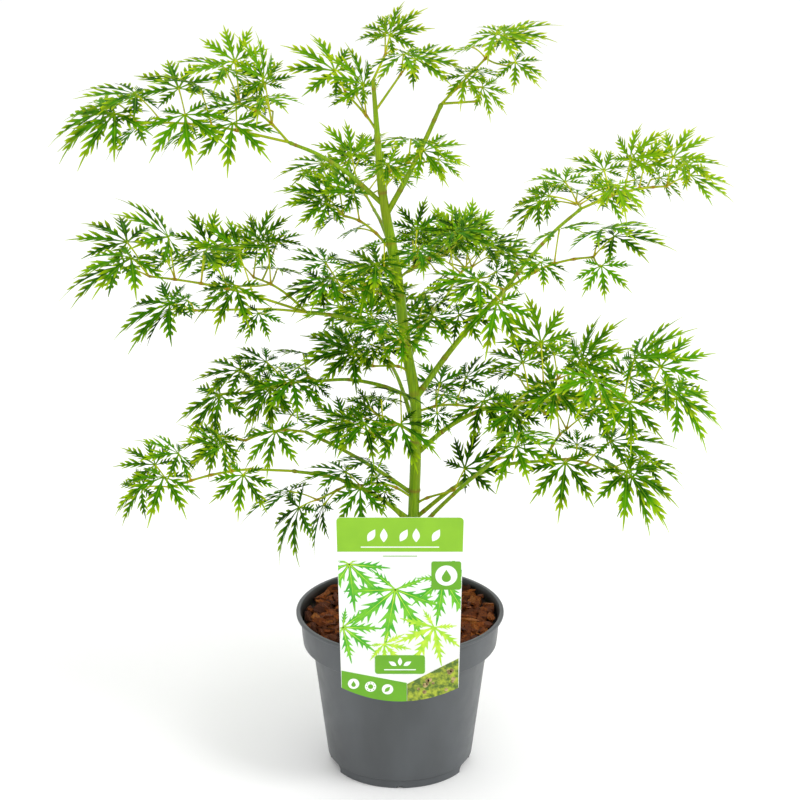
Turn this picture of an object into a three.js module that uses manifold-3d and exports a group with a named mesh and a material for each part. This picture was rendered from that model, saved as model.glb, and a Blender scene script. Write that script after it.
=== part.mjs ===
// A young laceleaf Japanese maple in a plastic nursery pot, with a picture label hooked on the rim.
// Millimetres, +Z up. The origin is the centre of the pot's flat underside, +X is to the right as seen
// from the label's side, and +Y points to the back. Azimuths turn from +X towards +Y.
import * as THREE from 'three';
import Module from 'manifold-3d';
import { mergeVertices } from 'three/addons/utils/BufferGeometryUtils.js';

const wasm = await Module();
wasm.setup();

// Pot
const potHeight = 150;
const rimRadius = 95;
const lipHeight = 3.2;
const lipDepth = 2.2;
const collarTopRadius = 91.4;
const collarFootRadius = 88.8;
const collarFoot = 119;
const wallTopRadius = 80.6;
const wallFootRadius = 67;
const footRingHeight = 8.5;
const footRingRadius = 64.8;
const undersideRadius = 62.8;
const potWall = 1.8;
const potFloor = 3;
const potEdge = 1;
const potFacets = 40;

// Drain arches round the foot, the front one only a nick
const drainArches = 5;
const drainWidth = 31;
const drainHeight = 6.5;
const drainDepth = 9;
const nickWidth = 5;
const nickHeight = 2.2;

// Potting mix
const soilTop = 141;
const soilGap = 1.2;
const soilShoulder = 3;
const soilFacets = 24;

// Label card and the tongue that hooks it over the rim
const cardTopWidth = 110;
const cardFootWidth = 103.6;
const cardTop = 279.6;
const cardShoulder = 117.5;
const cardFoot = 104;
const cardThickness = 0.9;
const cardCorner = 4;
const cardCurveSteps = 6;
const cardGap = 0.8;
const tongueWidth = 22;
const tongueInset = 13;
const tongueFoot = 124;

// Clearance that pieces which touch keep to each other, and how near the roots of siblings count
const clearance = 0.3;
const siblingReach = 30;

// Trunk: places on its centre line as [height, lean to the right, lean to the back, diameter]. The first
// is below the flat cut at its foot, which stands just clear of the potting mix.
const trunkFoot = soilTop + clearance;
const trunkLine = [
  [139, 7.9, 0, 18],
  [148, 8.4, 0, 12.6],
  [162, 9.2, 0, 10.8],
  [240, 12, 0, 10.4],
  [300, 14, 2, 10.4],
  [350, 13.8, 4, 10.2],
  [401, 5.4, 6, 10],
  [468, -3, 8, 9.8],
  [519, -12, 10, 8.6],
  [553, -16.8, 11, 7.2],
  [593, -19.7, 12, 5.2],
  [639, -23, 12, 3.4],
];
const trunkSides = 8;

// Boughs, as [name, root, azimuth, reach and rise from root to tip, bow of the middle above the straight
// line, root diameter, tip diameter]. The root is a height on the trunk, or the bough that it forks from.
const boughTable = [
  ['bough_left_top', 528, 172, 84, 54, 8, 5.4, 3.6],
  ['bough_right_leader', 520, 4, 48, 98, -4, 6.2, 4.2],
  ['bough_right_upper', 352, -2, 78, 102, 6, 7, 4.6],
  ['bough_right_upper_back', 'bough_right_upper', 24, 74, 66, 6, 4, 3.4],
  ['bough_right_middle', 300, -11, 88, 54, 12, 5.8, 3.8],
  ['bough_right_low', 238, -6, 118, 62, 16, 5, 3.4],
  ['bough_right_low_front', 222, -38, 88, 92, 4, 5, 3.4],
  ['bough_left_middle', 400, 187, 88, 36, 8, 5.4, 3.6],
  ['bough_left_lower', 352, 163, 92, 8, 8, 4.8, 3.4],
  ['bough_left_rising', 262, 176, 98, 58, 4, 5, 3.4],
  ['bough_left_low', 236, 197, 112, 62, 12, 5, 3.4],
  ['bough_front_left_low', 230, 200, 62, 50, 8, 4.4, 3.2],
  ['bough_back_low', 318, 106, 84, 42, 8, 5, 3.4],
  ['bough_back_middle', 388, 66, 84, 34, 8, 5, 3.4],
  ['bough_back_upper', 476, 108, 62, 34, 6, 4.6, 3.2],
];
const boughSides = 5;
const boughSteps = 3;

// The knuckle at a bough's tip, where the stems of its sprays start: how far back it begins and swells
const knuckleStart = 5;
const knucklePeak = 2;
const knuckleSwell = 1.3;
const knuckleEnd = 0.9;

// Sprays, the masses of leaves, as [name, root, azimuth, elevation, stem length, stem sag, joints, lift of
// the leaf stalks above the stem, leaf length, stalk length]. The root is a height on the trunk, or the
// bough or trunk whose tip the stem starts from.
const sprayTable = [
  ['spray_left_top_outer', 'bough_left_top', 174, 8, 134, 4, 4, 18, 58, 34],
  ['spray_left_top_back', 'bough_left_top', 156, 36, 58, 4, 2, 24, 50, 34],
  ['spray_left_high', 486, 168, 40, 58, 6, 2, 8, 46, 26],
  ['spray_top', 'trunk', 30, 60, 24, 0, 0, 6, 42, 22],
  ['spray_top_left', 594, 150, 46, 46, 2, 1, 16, 50, 28],
  ['spray_top_front', 612, 350, 56, 40, 0, 0, -2, 46, 26],
  ['spray_right_leader_tip', 'bough_right_leader', 4, 46, 54, 0, 1, -8, 46, 34],
  ['spray_right_leader_side', 'bough_right_leader', -20, 8, 32, 0, 0, 10, 40, 28],
  ['spray_right_high', 552, -30, 36, 34, 2, 1, 20, 40, 24],
  ['spray_right_upper_outer', 'bough_right_upper_back', 10, 15, 80, 4, 4, 34, 44, 26],
  ['spray_right_upper_back', 'bough_right_upper_back', 92, -8, 44, 2, 2, 22, 46, 30],
  ['spray_right_upper_front', 'bough_right_upper', -12, 28, 88, 6, 3, 28, 52, 32],
  ['spray_right_upper_near', 'bough_right_upper', -96, 6, 34, 4, 1, 26, 48, 28],
  ['spray_right_inner', 462, 10, 30, 50, 4, 2, 24, 42, 28],
  ['spray_right_middle_outer', 'bough_right_middle', -10, 6, 116, 4, 4, 34, 58, 36],
  ['spray_right_middle_back', 'bough_right_middle', 38, 18, 54, 4, 2, 20, 50, 32],
  ['spray_right_middle_front', 'bough_right_middle', -54, 10, 46, 4, 2, 20, 50, 30],
  ['spray_right_centre', 340, -4, 10, 54, 4, 2, 20, 46, 26],
  ['spray_right_near', 414, -26, 18, 42, 4, 1, 18, 46, 28],
  ['spray_right_low_outer', 'bough_right_low', -16, 0, 56, 4, 2, 8, 54, 30],
  ['spray_right_low_back', 'bough_right_low', 66, 16, 56, 4, 2, 16, 52, 32],
  ['spray_right_low_front', 'bough_right_low_front', -40, 30, 26, 2, 1, 20, 50, 28],
  ['spray_right_foot', 252, -24, 30, 46, 2, 1, 8, 44, 24],
  ['spray_left_middle_outer', 'bough_left_middle', 183, 16, 142, 4, 4, 36, 58, 36],
  ['spray_left_middle_back', 'bough_left_middle', 142, 22, 66, 4, 2, 34, 50, 34],
  ['spray_left_middle_front', 'bough_left_middle', 199, 8, 102, 2, 1, 6, 58, 24],
  ['spray_left_centre', 440, 196, 22, 56, 6, 2, 26, 44, 28],
  ['spray_left_near', 376, 208, 24, 42, 4, 1, 16, 48, 28],
  ['spray_left_foot', 258, 208, 28, 62, 6, 2, 10, 46, 24],
  ['spray_left_lower_outer', 'bough_left_lower', 168, -12, 72, 2, 2, 14, 48, 28],
  ['spray_left_lower_front', 'bough_left_lower', 222, 12, 34, 4, 1, 24, 44, 28],
  ['spray_left_rising', 'bough_left_rising', 182, -4, 54, 4, 2, 18, 48, 28],
  ['spray_left_low_outer', 'bough_left_low', 193, 0, 108, 6, 4, 30, 46, 28],
  ['spray_front_left_low', 'bough_front_left_low', 218, -10, 34, 0, 1, 4, 62, 26],
  ['spray_back_low', 'bough_back_low', 104, 8, 84, 6, 3, 24, 52, 34],
  ['spray_back_middle', 'bough_back_middle', 72, 8, 84, 6, 3, 24, 52, 34],
  ['spray_back_upper', 'bough_back_upper', 112, 14, 60, 4, 2, 20, 48, 32],
  ['spray_front_low', 318, 232, 24, 66, 8, 3, 20, 48, 28],
  ['spray_front_middle', 404, 268, 22, 58, 8, 2, 16, 46, 28],
  ['spray_front_upper', 462, 250, 26, 56, 6, 2, 20, 44, 26],
];
const stemRoot = 3.4;
const stemTip = 2.6;
const stemEnd = 1.2;
const stemSides = 3;
const firstJoint = 0.34;

// How the leaf stalks stand at a joint: level pairs spread sideways, upright pairs one up and one low
const levelSpread = 58;
const uprightSpread = 22;
const uprightLift = 30;
const lowDrop = 14;
const endLift = 0.4;
const shortStalk = 0.8;
const lowLeaf = 0.85;
const innerLeaf = 0.86;
const stalkDiameter = 1.2;
const spreadVaries = 12;
const sizeVaries = 0.14;
const turnsTried = [[0, 0], [14, 6], [-14, 6], [0, 18], [0, -16], [28, 10], [-28, 10], [42, 0], [-42, 0]];

// Leaf: seven narrow lobes from the stalk's end, the middle one the longest
const lobes = [
  { angle: -122, length: 0.5, waist: 0 },
  { angle: -78, length: 0.78, waist: 0.085 },
  { angle: -38, length: 0.94, waist: 0.1 },
  { angle: 0, length: 1, waist: 0.1 },
  { angle: 38, length: 0.94, waist: 0.1 },
  { angle: 78, length: 0.78, waist: 0.085 },
  { angle: 122, length: 0.5, waist: 0 },
];
const waistPlace = 0.46;
const notchRadius = 0.1;
const backNotchRadius = 0.06;
const hubHalfThickness = 0.9;
const leafSag = 0.2;
const leafBend = 34;
const leafRoll = 16;
const steepestLeaf = -62;
const leanToLight = 20;

// Room that leaves keep from each other and from wood, and the bounds of the crown
const leafRoom = 2.8;
const woodRoom = 2.2;
const crownFloor = 172;
const labelKeepOut = { side: 58, front: -150, back: -89, top: 284 };

const radians = THREE.MathUtils.degToRad;
const vector = (x, y, z) => new THREE.Vector3(x, y, z);

// A run of numbers between 0 and 1 that is the same every time for one name
function seededDraws(name) {
  let state = [...name].reduce((sum, letter) => (Math.imul(sum, 31) + letter.charCodeAt(0)) >>> 0, 0);
  return () => {
    state = (Math.imul(state, 1664525) + 1013904223) >>> 0;
    return state / 4294967296;
  };
}

function heading(azimuth, elevation) {
  const level = Math.cos(radians(elevation));
  const turn = radians(azimuth);
  return vector(level * Math.cos(turn), level * Math.sin(turn), Math.sin(radians(elevation)));
}

// Closed meshes and solids

function geometryFrom(positions, faces) {
  const geometry = new THREE.BufferGeometry();
  const numbers = positions.flatMap((p) => [p.x, p.y, p.z]);
  geometry.setAttribute('position', new THREE.Float32BufferAttribute(numbers, 3));
  geometry.setIndex(faces.flat());
  return geometry;
}

function solidFrom(geometry) {
  const bare = geometry.clone();
  bare.deleteAttribute('normal');
  bare.deleteAttribute('uv');
  const merged = mergeVertices(bare, 1e-4);
  const vertProperties = new Float32Array(merged.attributes.position.array);
  const triVerts = new Uint32Array(merged.index.array);
  return new wasm.Manifold(new wasm.Mesh({ numProp: 3, vertProperties, triVerts }));
}

function geometryOf(solid) {
  const mesh = solid.getMesh();
  const geometry = new THREE.BufferGeometry();
  geometry.setAttribute('position', new THREE.BufferAttribute(mesh.vertProperties, 3));
  geometry.setIndex(new THREE.BufferAttribute(mesh.triVerts, 1));
  return geometry;
}

// A closed tube through the points, with a ring of the given radius at each
function tube(points, radii, sides) {
  const positions = [];
  const faces = [];
  let across = vector(0, 0, 1);
  points.forEach((point, i) => {
    const ahead = points[Math.min(i + 1, points.length - 1)];
    const along = ahead.clone().sub(points[Math.max(i - 1, 0)]).normalize();
    if (i === 0 && Math.abs(along.z) > 0.9) across = vector(1, 0, 0);
    across = across.clone().addScaledVector(along, -across.dot(along)).normalize();
    const other = along.clone().cross(across);
    for (let k = 0; k < sides; k++) {
      const turn = (2 * Math.PI * k) / sides;
      const spoke = across.clone().multiplyScalar(Math.cos(turn)).addScaledVector(other, Math.sin(turn));
      positions.push(point.clone().addScaledVector(spoke, radii[i]));
    }
  });
  for (let i = 0; i < points.length - 1; i++) {
    for (let k = 0; k < sides; k++) {
      const a = i * sides + k;
      const b = i * sides + ((k + 1) % sides);
      faces.push([a, b, b + sides], [a, b + sides, a + sides]);
    }
  }
  const last = (points.length - 1) * sides;
  for (let k = 1; k < sides - 1; k++) {
    faces.push([0, k + 1, k], [last, last + k, last + k + 1]);
  }
  return geometryFrom(positions, faces);
}

function box(width, depth, height, x, y, z) {
  return new THREE.BoxGeometry(width, depth, height).translate(x, y, z);
}

// Pot, potting mix and label

function collarRadiusAt(height) {
  const share = (height - collarFoot) / (potHeight - lipHeight - collarFoot);
  return THREE.MathUtils.lerp(collarFootRadius, collarTopRadius, share);
}

function potSolid() {
  const lipFoot = potHeight - lipHeight;
  const ledge = collarFoot + potWall;
  const outside = [
    [0, 0], [undersideRadius, 0], [footRingRadius, potEdge], [footRingRadius, footRingHeight],
    [wallFootRadius, footRingHeight + potEdge], [wallTopRadius, collarFoot], [collarFootRadius, collarFoot],
    [collarTopRadius, lipFoot], [rimRadius - potEdge, lipFoot], [rimRadius, lipFoot + potEdge],
    [rimRadius, potHeight - potEdge], [rimRadius - potEdge, potHeight],
  ];
  const inside = [
    [rimRadius - lipDepth - potEdge, potHeight], [collarTopRadius - potWall, lipFoot - potEdge],
    [collarFootRadius - potWall, ledge], [wallTopRadius - potWall, ledge],
    [wallFootRadius - potWall, footRingHeight + potWall], [footRingRadius - potWall, potFloor],
    [0, potFloor],
  ];
  const profile = [...outside, ...inside].map(([r, z]) => new THREE.Vector2(r, z));
  const shell = new THREE.LatheGeometry(profile, potFacets).rotateX(Math.PI / 2);
  let pot = solidFrom(shell);
  for (let i = 0; i < drainArches; i++) {
    const front = i === 0;
    const width = front ? nickWidth : drainWidth;
    const height = front ? nickHeight : drainHeight;
    const arch = box(drainDepth, width, 2 * height, footRingRadius, 0, 0);
    arch.rotateZ(radians(-90 + (360 * i) / drainArches));
    pot = pot.subtract(solidFrom(arch));
  }
  return pot;
}

function soilSolid() {
  const ledge = collarFoot + potWall + clearance;
  const inset = potWall + soilGap;
  const topRadius = collarRadiusAt(soilTop) - inset;
  const profile = [
    [0, potFloor + clearance], [footRingRadius - inset, potFloor + clearance],
    [wallFootRadius - inset, footRingHeight + potWall + soilGap], [wallTopRadius - inset, ledge],
    [collarFootRadius - inset, ledge], [topRadius, soilTop - soilShoulder],
    [topRadius - soilShoulder, soilTop], [0, soilTop],
  ].map(([r, z]) => new THREE.Vector2(r, z));
  const plug = solidFrom(new THREE.LatheGeometry(profile, soilFacets).rotateX(Math.PI / 2));
  const slotThickness = cardThickness + 2 * clearance;
  const slotDepth = soilTop - tongueFoot + clearance;
  const slotHeight = 2 * slotDepth;
  const slot = box(tongueWidth + 2 * clearance, slotThickness, slotHeight, 0, tonguePlace(), soilTop);
  return plug.subtract(solidFrom(slot));
}

function cardBack() {
  return -rimRadius - cardGap;
}

function tonguePlace() {
  return -rimRadius + tongueInset + cardThickness / 2;
}

// The card's face is wider at the top, with round top corners and a foot that bows down
function cardOutline() {
  const top = cardTopWidth / 2;
  const foot = cardFootWidth / 2;
  const shape = new THREE.Shape();
  shape.moveTo(-foot, cardShoulder);
  shape.quadraticCurveTo(0, 2 * cardFoot - cardShoulder, foot, cardShoulder);
  shape.lineTo(top, cardTop - cardCorner);
  shape.quadraticCurveTo(top, cardTop, top - cardCorner, cardTop);
  shape.lineTo(-top + cardCorner, cardTop);
  shape.quadraticCurveTo(-top, cardTop, -top, cardTop - cardCorner);
  return shape;
}

function labelSolid() {
  const thick = { depth: cardThickness, bevelEnabled: false, curveSegments: cardCurveSteps };
  const face = new THREE.ExtrudeGeometry(cardOutline(), thick);
  face.rotateX(Math.PI / 2).translate(0, cardBack(), 0);
  const bridgeFoot = potHeight + clearance;
  const bridgeDepth = tonguePlace() + cardThickness / 2 - cardBack() + cardThickness / 2;
  const bridgeMiddle = cardBack() - cardThickness / 2 + bridgeDepth / 2;
  const bridgeHeight = bridgeFoot + cardThickness / 2;
  const bridge = box(tongueWidth, bridgeDepth, cardThickness, 0, bridgeMiddle, bridgeHeight);
  const legHeight = bridgeFoot + cardThickness - tongueFoot;
  const leg = box(tongueWidth, cardThickness, legHeight, 0, tonguePlace(), tongueFoot + legHeight / 2);
  return solidFrom(face).add(solidFrom(bridge)).add(solidFrom(leg));
}

// Wood

const trunkPoints = trunkLine.map(([z, x, y]) => vector(x, y, z));
const trunkRadii = trunkLine.map((place) => place[3] / 2);

// The centre of the trunk at a height
function trunkAt(height) {
  const above = Math.max(trunkPoints.findIndex((p) => p.z >= height), 1);
  const low = trunkPoints[above - 1];
  const high = trunkPoints[above];
  return low.clone().lerp(high, (height - low.z) / (high.z - low.z));
}

const limbs = { trunk: { points: trunkPoints, radii: trunkRadii, sides: trunkSides } };

// The limb that a root stands on, and its place there: a height on the trunk, or the tip of the named limb
const parentOf = (root) => (typeof root === 'number' ? 'trunk' : root);
const placeOf = (root) => (typeof root === 'number' ? trunkAt(root) : limbs[root].points.at(-1).clone());

// The centre line of a bough: a shallow bow between its root and its tip, with a knuckle at the tip
function boughLimb([, root, azimuth, reach, rise, bow, rootDiameter, tipDiameter]) {
  const start = placeOf(root);
  const end = start.clone().addScaledVector(heading(azimuth, 0), reach);
  end.z += rise;
  const points = [];
  const radii = [];
  for (let i = 0; i <= boughSteps; i++) {
    const share = i / boughSteps;
    const place = start.clone().lerp(end, share);
    place.z += bow * Math.sin(Math.PI * share);
    points.push(place);
    radii.push(THREE.MathUtils.lerp(rootDiameter, tipDiameter, share) / 2);
  }
  const tip = points.pop();
  const tipRadius = radii.pop();
  const along = tip.clone().sub(points.at(-1)).normalize();
  const back = (distance) => tip.clone().addScaledVector(along, -distance);
  points.push(back(knuckleStart), back(knucklePeak), tip);
  radii.push(tipRadius, tipRadius * knuckleSwell, tipRadius * knuckleEnd);
  return { points, radii, sides: boughSides };
}

// The same limb with the clearance added all round and past its end
function roomAround(limb) {
  const points = limb.points.map((p) => p.clone());
  const along = points.at(-1).clone().sub(points.at(-2)).normalize();
  points.at(-1).addScaledVector(along, clearance);
  const grown = limb.radii.map((radius) => radius + clearance / Math.cos(Math.PI / limb.sides));
  return solidFrom(tube(points, grown, limb.sides));
}

// A solid cut clear of its parent limb and of the siblings that start from the same limb before it
const siblings = {};

function cutClear(solid, root, limb) {
  const parent = parentOf(root);
  siblings[parent] ??= [];
  const start = limb.points[0];
  const nearby = siblings[parent].filter((other) => other.points[0].distanceTo(start) < siblingReach);
  const rooms = [limbs[parent], ...nearby].map(roomAround);
  siblings[parent].push(limb);
  const pieces = solid.subtract(wasm.Manifold.union(rooms)).decompose();
  return pieces.sort((a, b) => b.volume() - a.volume())[0];
}

// Rule of growth. A stretch is a straight run of wood, stalk or rib, [x, y, z, x, y, z].

const stretch = (a, b) => [a.x, a.y, a.z, b.x, b.y, b.z];

// The shortest distance between two stretches
function gapBetween(a, b) {
  const u = [a[3] - a[0], a[4] - a[1], a[5] - a[2]];
  const v = [b[3] - b[0], b[4] - b[1], b[5] - b[2]];
  const w = [a[0] - b[0], a[1] - b[1], a[2] - b[2]];
  const uu = u[0] * u[0] + u[1] * u[1] + u[2] * u[2];
  const vv = v[0] * v[0] + v[1] * v[1] + v[2] * v[2];
  const uv = u[0] * v[0] + u[1] * v[1] + u[2] * v[2];
  const uw = u[0] * w[0] + u[1] * w[1] + u[2] * w[2];
  const vw = v[0] * w[0] + v[1] * w[1] + v[2] * w[2];
  const area = uu * vv - uv * uv;
  let s = area > 1e-9 ? THREE.MathUtils.clamp((uv * vw - vv * uw) / area, 0, 1) : 0;
  const t = THREE.MathUtils.clamp((uv * s + vw) / vv, 0, 1);
  s = THREE.MathUtils.clamp((uv * t - uw) / uu, 0, 1);
  const dx = w[0] + s * u[0] - t * v[0];
  const dy = w[1] + s * u[1] - t * v[1];
  const dz = w[2] + s * u[2] - t * v[2];
  return Math.sqrt(dx * dx + dy * dy + dz * dz);
}

// Everything that stands so far: groups of stretches with a middle and a size, for a quick first test
const standing = [];

function stand(kind, owner, stretches, thick) {
  const ends = stretches.flatMap((s) => [vector(s[0], s[1], s[2]), vector(s[3], s[4], s[5])]);
  const sphere = new THREE.Sphere().setFromPoints(ends);
  standing.push({ kind, owner, stretches, thick, middle: sphere.center, size: sphere.radius });
}

function standLimb(kind, name, limb) {
  for (let i = 0; i < limb.points.length - 1; i++) {
    stand(kind, name, [stretch(limb.points[i], limb.points[i + 1])], limb.radii[i]);
  }
}

// The places of a leaf's hub, waists and tips in its own plane, sagging towards the tips
function leafPlace(leaf, angle, distance, aside) {
  const turn = radians(angle);
  const x = Math.cos(turn) * distance - Math.sin(turn) * aside;
  const y = Math.sin(turn) * distance + Math.cos(turn) * aside;
  const sag = (leafSag * distance * distance) / leaf.length;
  const level = leaf.hub.clone().addScaledVector(leaf.forward, x).addScaledVector(leaf.side, y);
  return level.addScaledVector(leaf.normal, -sag);
}

function makeLeaf(root, azimuth, lift, stalk, length, roll) {
  const hub = root.clone().addScaledVector(heading(azimuth, lift), stalk);
  const forward = heading(azimuth, Math.max(lift - leafBend, steepestLeaf));
  const level = heading(azimuth + 90, 0);
  const upward = forward.clone().cross(level);
  const rolled = radians(roll);
  const side = level.multiplyScalar(Math.cos(rolled)).addScaledVector(upward, Math.sin(rolled));
  for (const axis of [forward, side]) axis.applyAxisAngle(vector(1, 0, 0), radians(leanToLight));
  const normal = forward.clone().cross(side);
  return { root, hub, forward, side, normal, length };
}

function leafRibs(leaf) {
  return lobes.flatMap((lobe) => {
    const reach = lobe.length * leaf.length;
    const tip = leafPlace(leaf, lobe.angle, reach, 0);
    if (!lobe.waist) return [stretch(leaf.hub, tip)];
    const left = leafPlace(leaf, lobe.angle, waistPlace * reach, lobe.waist * leaf.length);
    const right = leafPlace(leaf, lobe.angle, waistPlace * reach, -lobe.waist * leaf.length);
    const leftEdge = [stretch(leaf.hub, left), stretch(left, tip)];
    const rightEdge = [stretch(leaf.hub, right), stretch(right, tip)];
    return [stretch(leaf.hub, tip), ...leftEdge, ...rightEdge];
  });
}

function insideKeepOut(stretches) {
  return stretches.some((s) => {
    if (s[5] < crownFloor || s[2] < crownFloor) return true;
    const beside = Math.abs(s[3]) > labelKeepOut.side || s[5] > labelKeepOut.top;
    return !beside && s[4] > labelKeepOut.front && s[4] < labelKeepOut.back;
  });
}

// Whether a leaf on its stalk has room: from all wood, and from every other stalk and leaf
function hasRoom(leaf, owner) {
  const ribs = leafRibs(leaf);
  if (insideKeepOut(ribs)) return false;
  const stalk = stretch(leaf.root, leaf.hub);
  const stalkLength = leaf.root.distanceTo(leaf.hub);
  return standing.every((thing) => {
    const near = thing.size + leafRoom + thing.thick;
    const room = thing.thick + (thing.kind === 'leaf' ? leafRoom : woodRoom);
    const touches = (part, least) => thing.stretches.some((other) => gapBetween(part, other) < least);
    const leafNear = leaf.hub.distanceTo(thing.middle) < leaf.length + near;
    if (leafNear && ribs.some((rib) => touches(rib, room))) return false;
    const own = thing.owner === owner && thing.kind !== 'leaf';
    const stalkNear = leaf.root.distanceTo(thing.middle) < stalkLength + near;
    return own || !stalkNear || !touches(stalk, thing.thick + woodRoom);
  });
}

// The stem of a spray: from its root along its heading, sagging to its tip
function sprayStem([, root, azimuth, elevation, length, sag, joints]) {
  const start = placeOf(root);
  const along = heading(azimuth, elevation);
  const points = [start];
  const radii = [stemRoot / 2];
  for (let i = 0; i <= joints; i++) {
    const share = i === joints ? 1 : firstJoint + ((1 - firstJoint) * i) / joints;
    const point = start.clone().addScaledVector(along, share * length);
    point.z += sag * (Math.sin(Math.PI * share) - share * share);
    points.push(point);
    radii.push(THREE.MathUtils.lerp(stemRoot, stemTip, (i + 1) / (joints + 1)) / 2);
  }
  return { points, radii, sides: stemSides };
}

// Leaves of a spray: one at its tip, and pairs at its joints, by turns level and upright
function growLeaves([name, , azimuth, elevation, , , joints, lift, leafLength, stalkLength], stem) {
  const draw = seededDraws(name);
  const leaves = [];
  const vary = (by) => by * (2 * draw() - 1);
  const place = (root, bearing, rise, stalk, length) => {
    const turned = bearing + vary(spreadVaries);
    const lifted = rise + vary(spreadVaries);
    const long = length * (1 + vary(sizeVaries));
    const reach = stalk * (1 + vary(sizeVaries));
    const roll = vary(leafRoll);
    for (const [turn, raise] of turnsTried) {
      const leaf = makeLeaf(root, turned + turn, lifted + raise, reach, long, roll);
      if (!hasRoom(leaf, name)) continue;
      stand('leaf', name, leafRibs(leaf), 0);
      stand('stalk', name, [stretch(leaf.root, leaf.hub)], stalkDiameter / 2);
      leaves.push(leaf);
      return;
    }
  };
  const rise = elevation + lift;
  const endRise = elevation + lift * endLift;
  for (let i = joints; i >= 0; i--) {
    const root = stem.points[i + 1];
    const length = leafLength * THREE.MathUtils.lerp(innerLeaf, 1, (i + 1) / (joints + 1));
    if (i === joints) place(root, azimuth, endRise, stalkLength * shortStalk, leafLength);
    if ((joints - i) % 2 === 0) {
      for (const hand of [-1, 1]) place(root, azimuth + hand * levelSpread, rise, stalkLength, length);
    } else {
      place(root, azimuth + uprightSpread, rise + uprightLift, stalkLength, length);
      place(root, azimuth - uprightSpread, rise - lowDrop, stalkLength * shortStalk, length * lowLeaf);
    }
  }
  return leaves;
}

// The outline of a leaf as [angle, distance from the hub, distance aside]: each lobe's waist, tip and
// other waist, with a notch between two lobes and one behind the stalk
function leafOutline(length) {
  const outline = [];
  lobes.forEach((lobe, i) => {
    const reach = lobe.length * length;
    const aside = lobe.waist * length;
    if (aside) outline.push([lobe.angle, waistPlace * reach, -aside]);
    outline.push([lobe.angle, reach, 0]);
    if (aside) outline.push([lobe.angle, waistPlace * reach, aside]);
    const next = lobes[i + 1];
    if (next) outline.push([(lobe.angle + next.angle) / 2, notchRadius * length, 0]);
  });
  outline.push([180, backNotchRadius * length, 0]);
  return outline;
}

// Three corners round a middle, along two axes
function triangleRound(middle, first, second, radius) {
  return [-120, 0, 120].map(radians).map((turn) => {
    const corner = middle.clone().addScaledVector(first, radius * Math.cos(turn));
    return corner.addScaledVector(second, radius * Math.sin(turn));
  });
}

// Which of three corners an outline place lies nearest to
function nearestCorner([angle, distance, aside]) {
  const bearing = angle + THREE.MathUtils.radToDeg(Math.atan2(aside, distance));
  return Math.floor(((bearing + 180) % 360) / 120);
}

// A leaf and its stalk as one closed mesh: a thin lobed blade, thickest at the hub, on a three-sided stalk
function leafGeometry(leaf) {
  const outline = leafOutline(leaf.length);
  const rim = outline.map(([angle, distance, aside]) => leafPlace(leaf, angle, distance, aside));
  const crest = leaf.hub.clone().addScaledVector(leaf.normal, hubHalfThickness);
  const under = leaf.hub.clone().addScaledVector(leaf.normal, -hubHalfThickness);
  const along = leaf.hub.clone().sub(leaf.root).normalize();
  const front = leaf.forward.clone().addScaledVector(along, -leaf.forward.dot(along)).normalize();
  const neckCorners = triangleRound(under, leaf.forward, leaf.side, stalkDiameter / 2);
  const footCorners = triangleRound(leaf.root, front, along.clone().cross(front), stalkDiameter / 2);
  const top = rim.length;
  const neck = top + 1;
  const foot = neck + neckCorners.length;
  const faces = [];
  rim.forEach((_, j) => {
    const next = (j + 1) % rim.length;
    const corner = nearestCorner(outline[j]);
    const nextCorner = nearestCorner(outline[next]);
    faces.push([top, j, next], [neck + corner, next, j]);
    if (nextCorner !== corner) faces.push([next, neck + corner, neck + nextCorner]);
  });
  for (let k = 0; k < 3; k++) {
    const other = (k + 1) % 3;
    faces.push([neck + other, neck + k, foot + k], [neck + other, foot + k, foot + other]);
  }
  faces.push([foot, foot + 2, foot + 1]);
  return geometryFrom([...rim, crest, ...neckCorners, ...footCorners], faces);
}

// The stem runs on a little past its last joint, so that the stalks there have their roots inside it
function stemTube(stem) {
  const last = stem.points.at(-1);
  const along = last.clone().sub(stem.points.at(-2)).normalize();
  const points = [...stem.points.slice(0, -1), last.clone().addScaledVector(along, stemEnd)];
  return tube(points, stem.radii, stem.sides);
}

// The spray as one solid: its stem and its leaves fused
function spraySolid(stem, leaves) {
  return wasm.Manifold.union([stemTube(stem), ...leaves.map(leafGeometry)].map(solidFrom));
}

// Assembly

const finishes = {
  pot: new THREE.MeshStandardMaterial({ color: '#5f6366', roughness: 0.5, metalness: 0 }),
  soil: new THREE.MeshStandardMaterial({ color: '#6b3a1c', roughness: 0.95, metalness: 0 }),
  label: new THREE.MeshStandardMaterial({ color: '#9bd13c', roughness: 0.4, metalness: 0 }),
  bark: new THREE.MeshStandardMaterial({ color: '#8aa63a', roughness: 0.6, metalness: 0 }),
  leaf: new THREE.MeshStandardMaterial({ color: '#4f9a1e', roughness: 0.55, metalness: 0 }),
};

const plant = new THREE.Group();

function addPiece(name, solid, finish) {
  const mesh = new THREE.Mesh(geometryOf(solid), finish);
  mesh.name = name;
  plant.add(mesh);
}

addPiece('pot', potSolid(), finishes.pot);
addPiece('potting_mix', soilSolid(), finishes.soil);
addPiece('label_card', labelSolid(), finishes.label);
const wholeTrunk = solidFrom(tube(trunkPoints, trunkRadii, trunkSides));
addPiece('trunk', wholeTrunk.trimByPlane([0, 0, 1], trunkFoot), finishes.bark);
standLimb('limb', 'trunk', limbs.trunk);

for (const row of boughTable) {
  const [name, root] = row;
  const limb = boughLimb(row);
  limbs[name] = limb;
  addPiece(name, cutClear(solidFrom(tube(limb.points, limb.radii, limb.sides)), root, limb), finishes.bark);
  standLimb('limb', name, limb);
}

const stems = sprayTable.map(sprayStem);
stems.forEach((stem, i) => standLimb('stem', sprayTable[i][0], stem));

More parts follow.
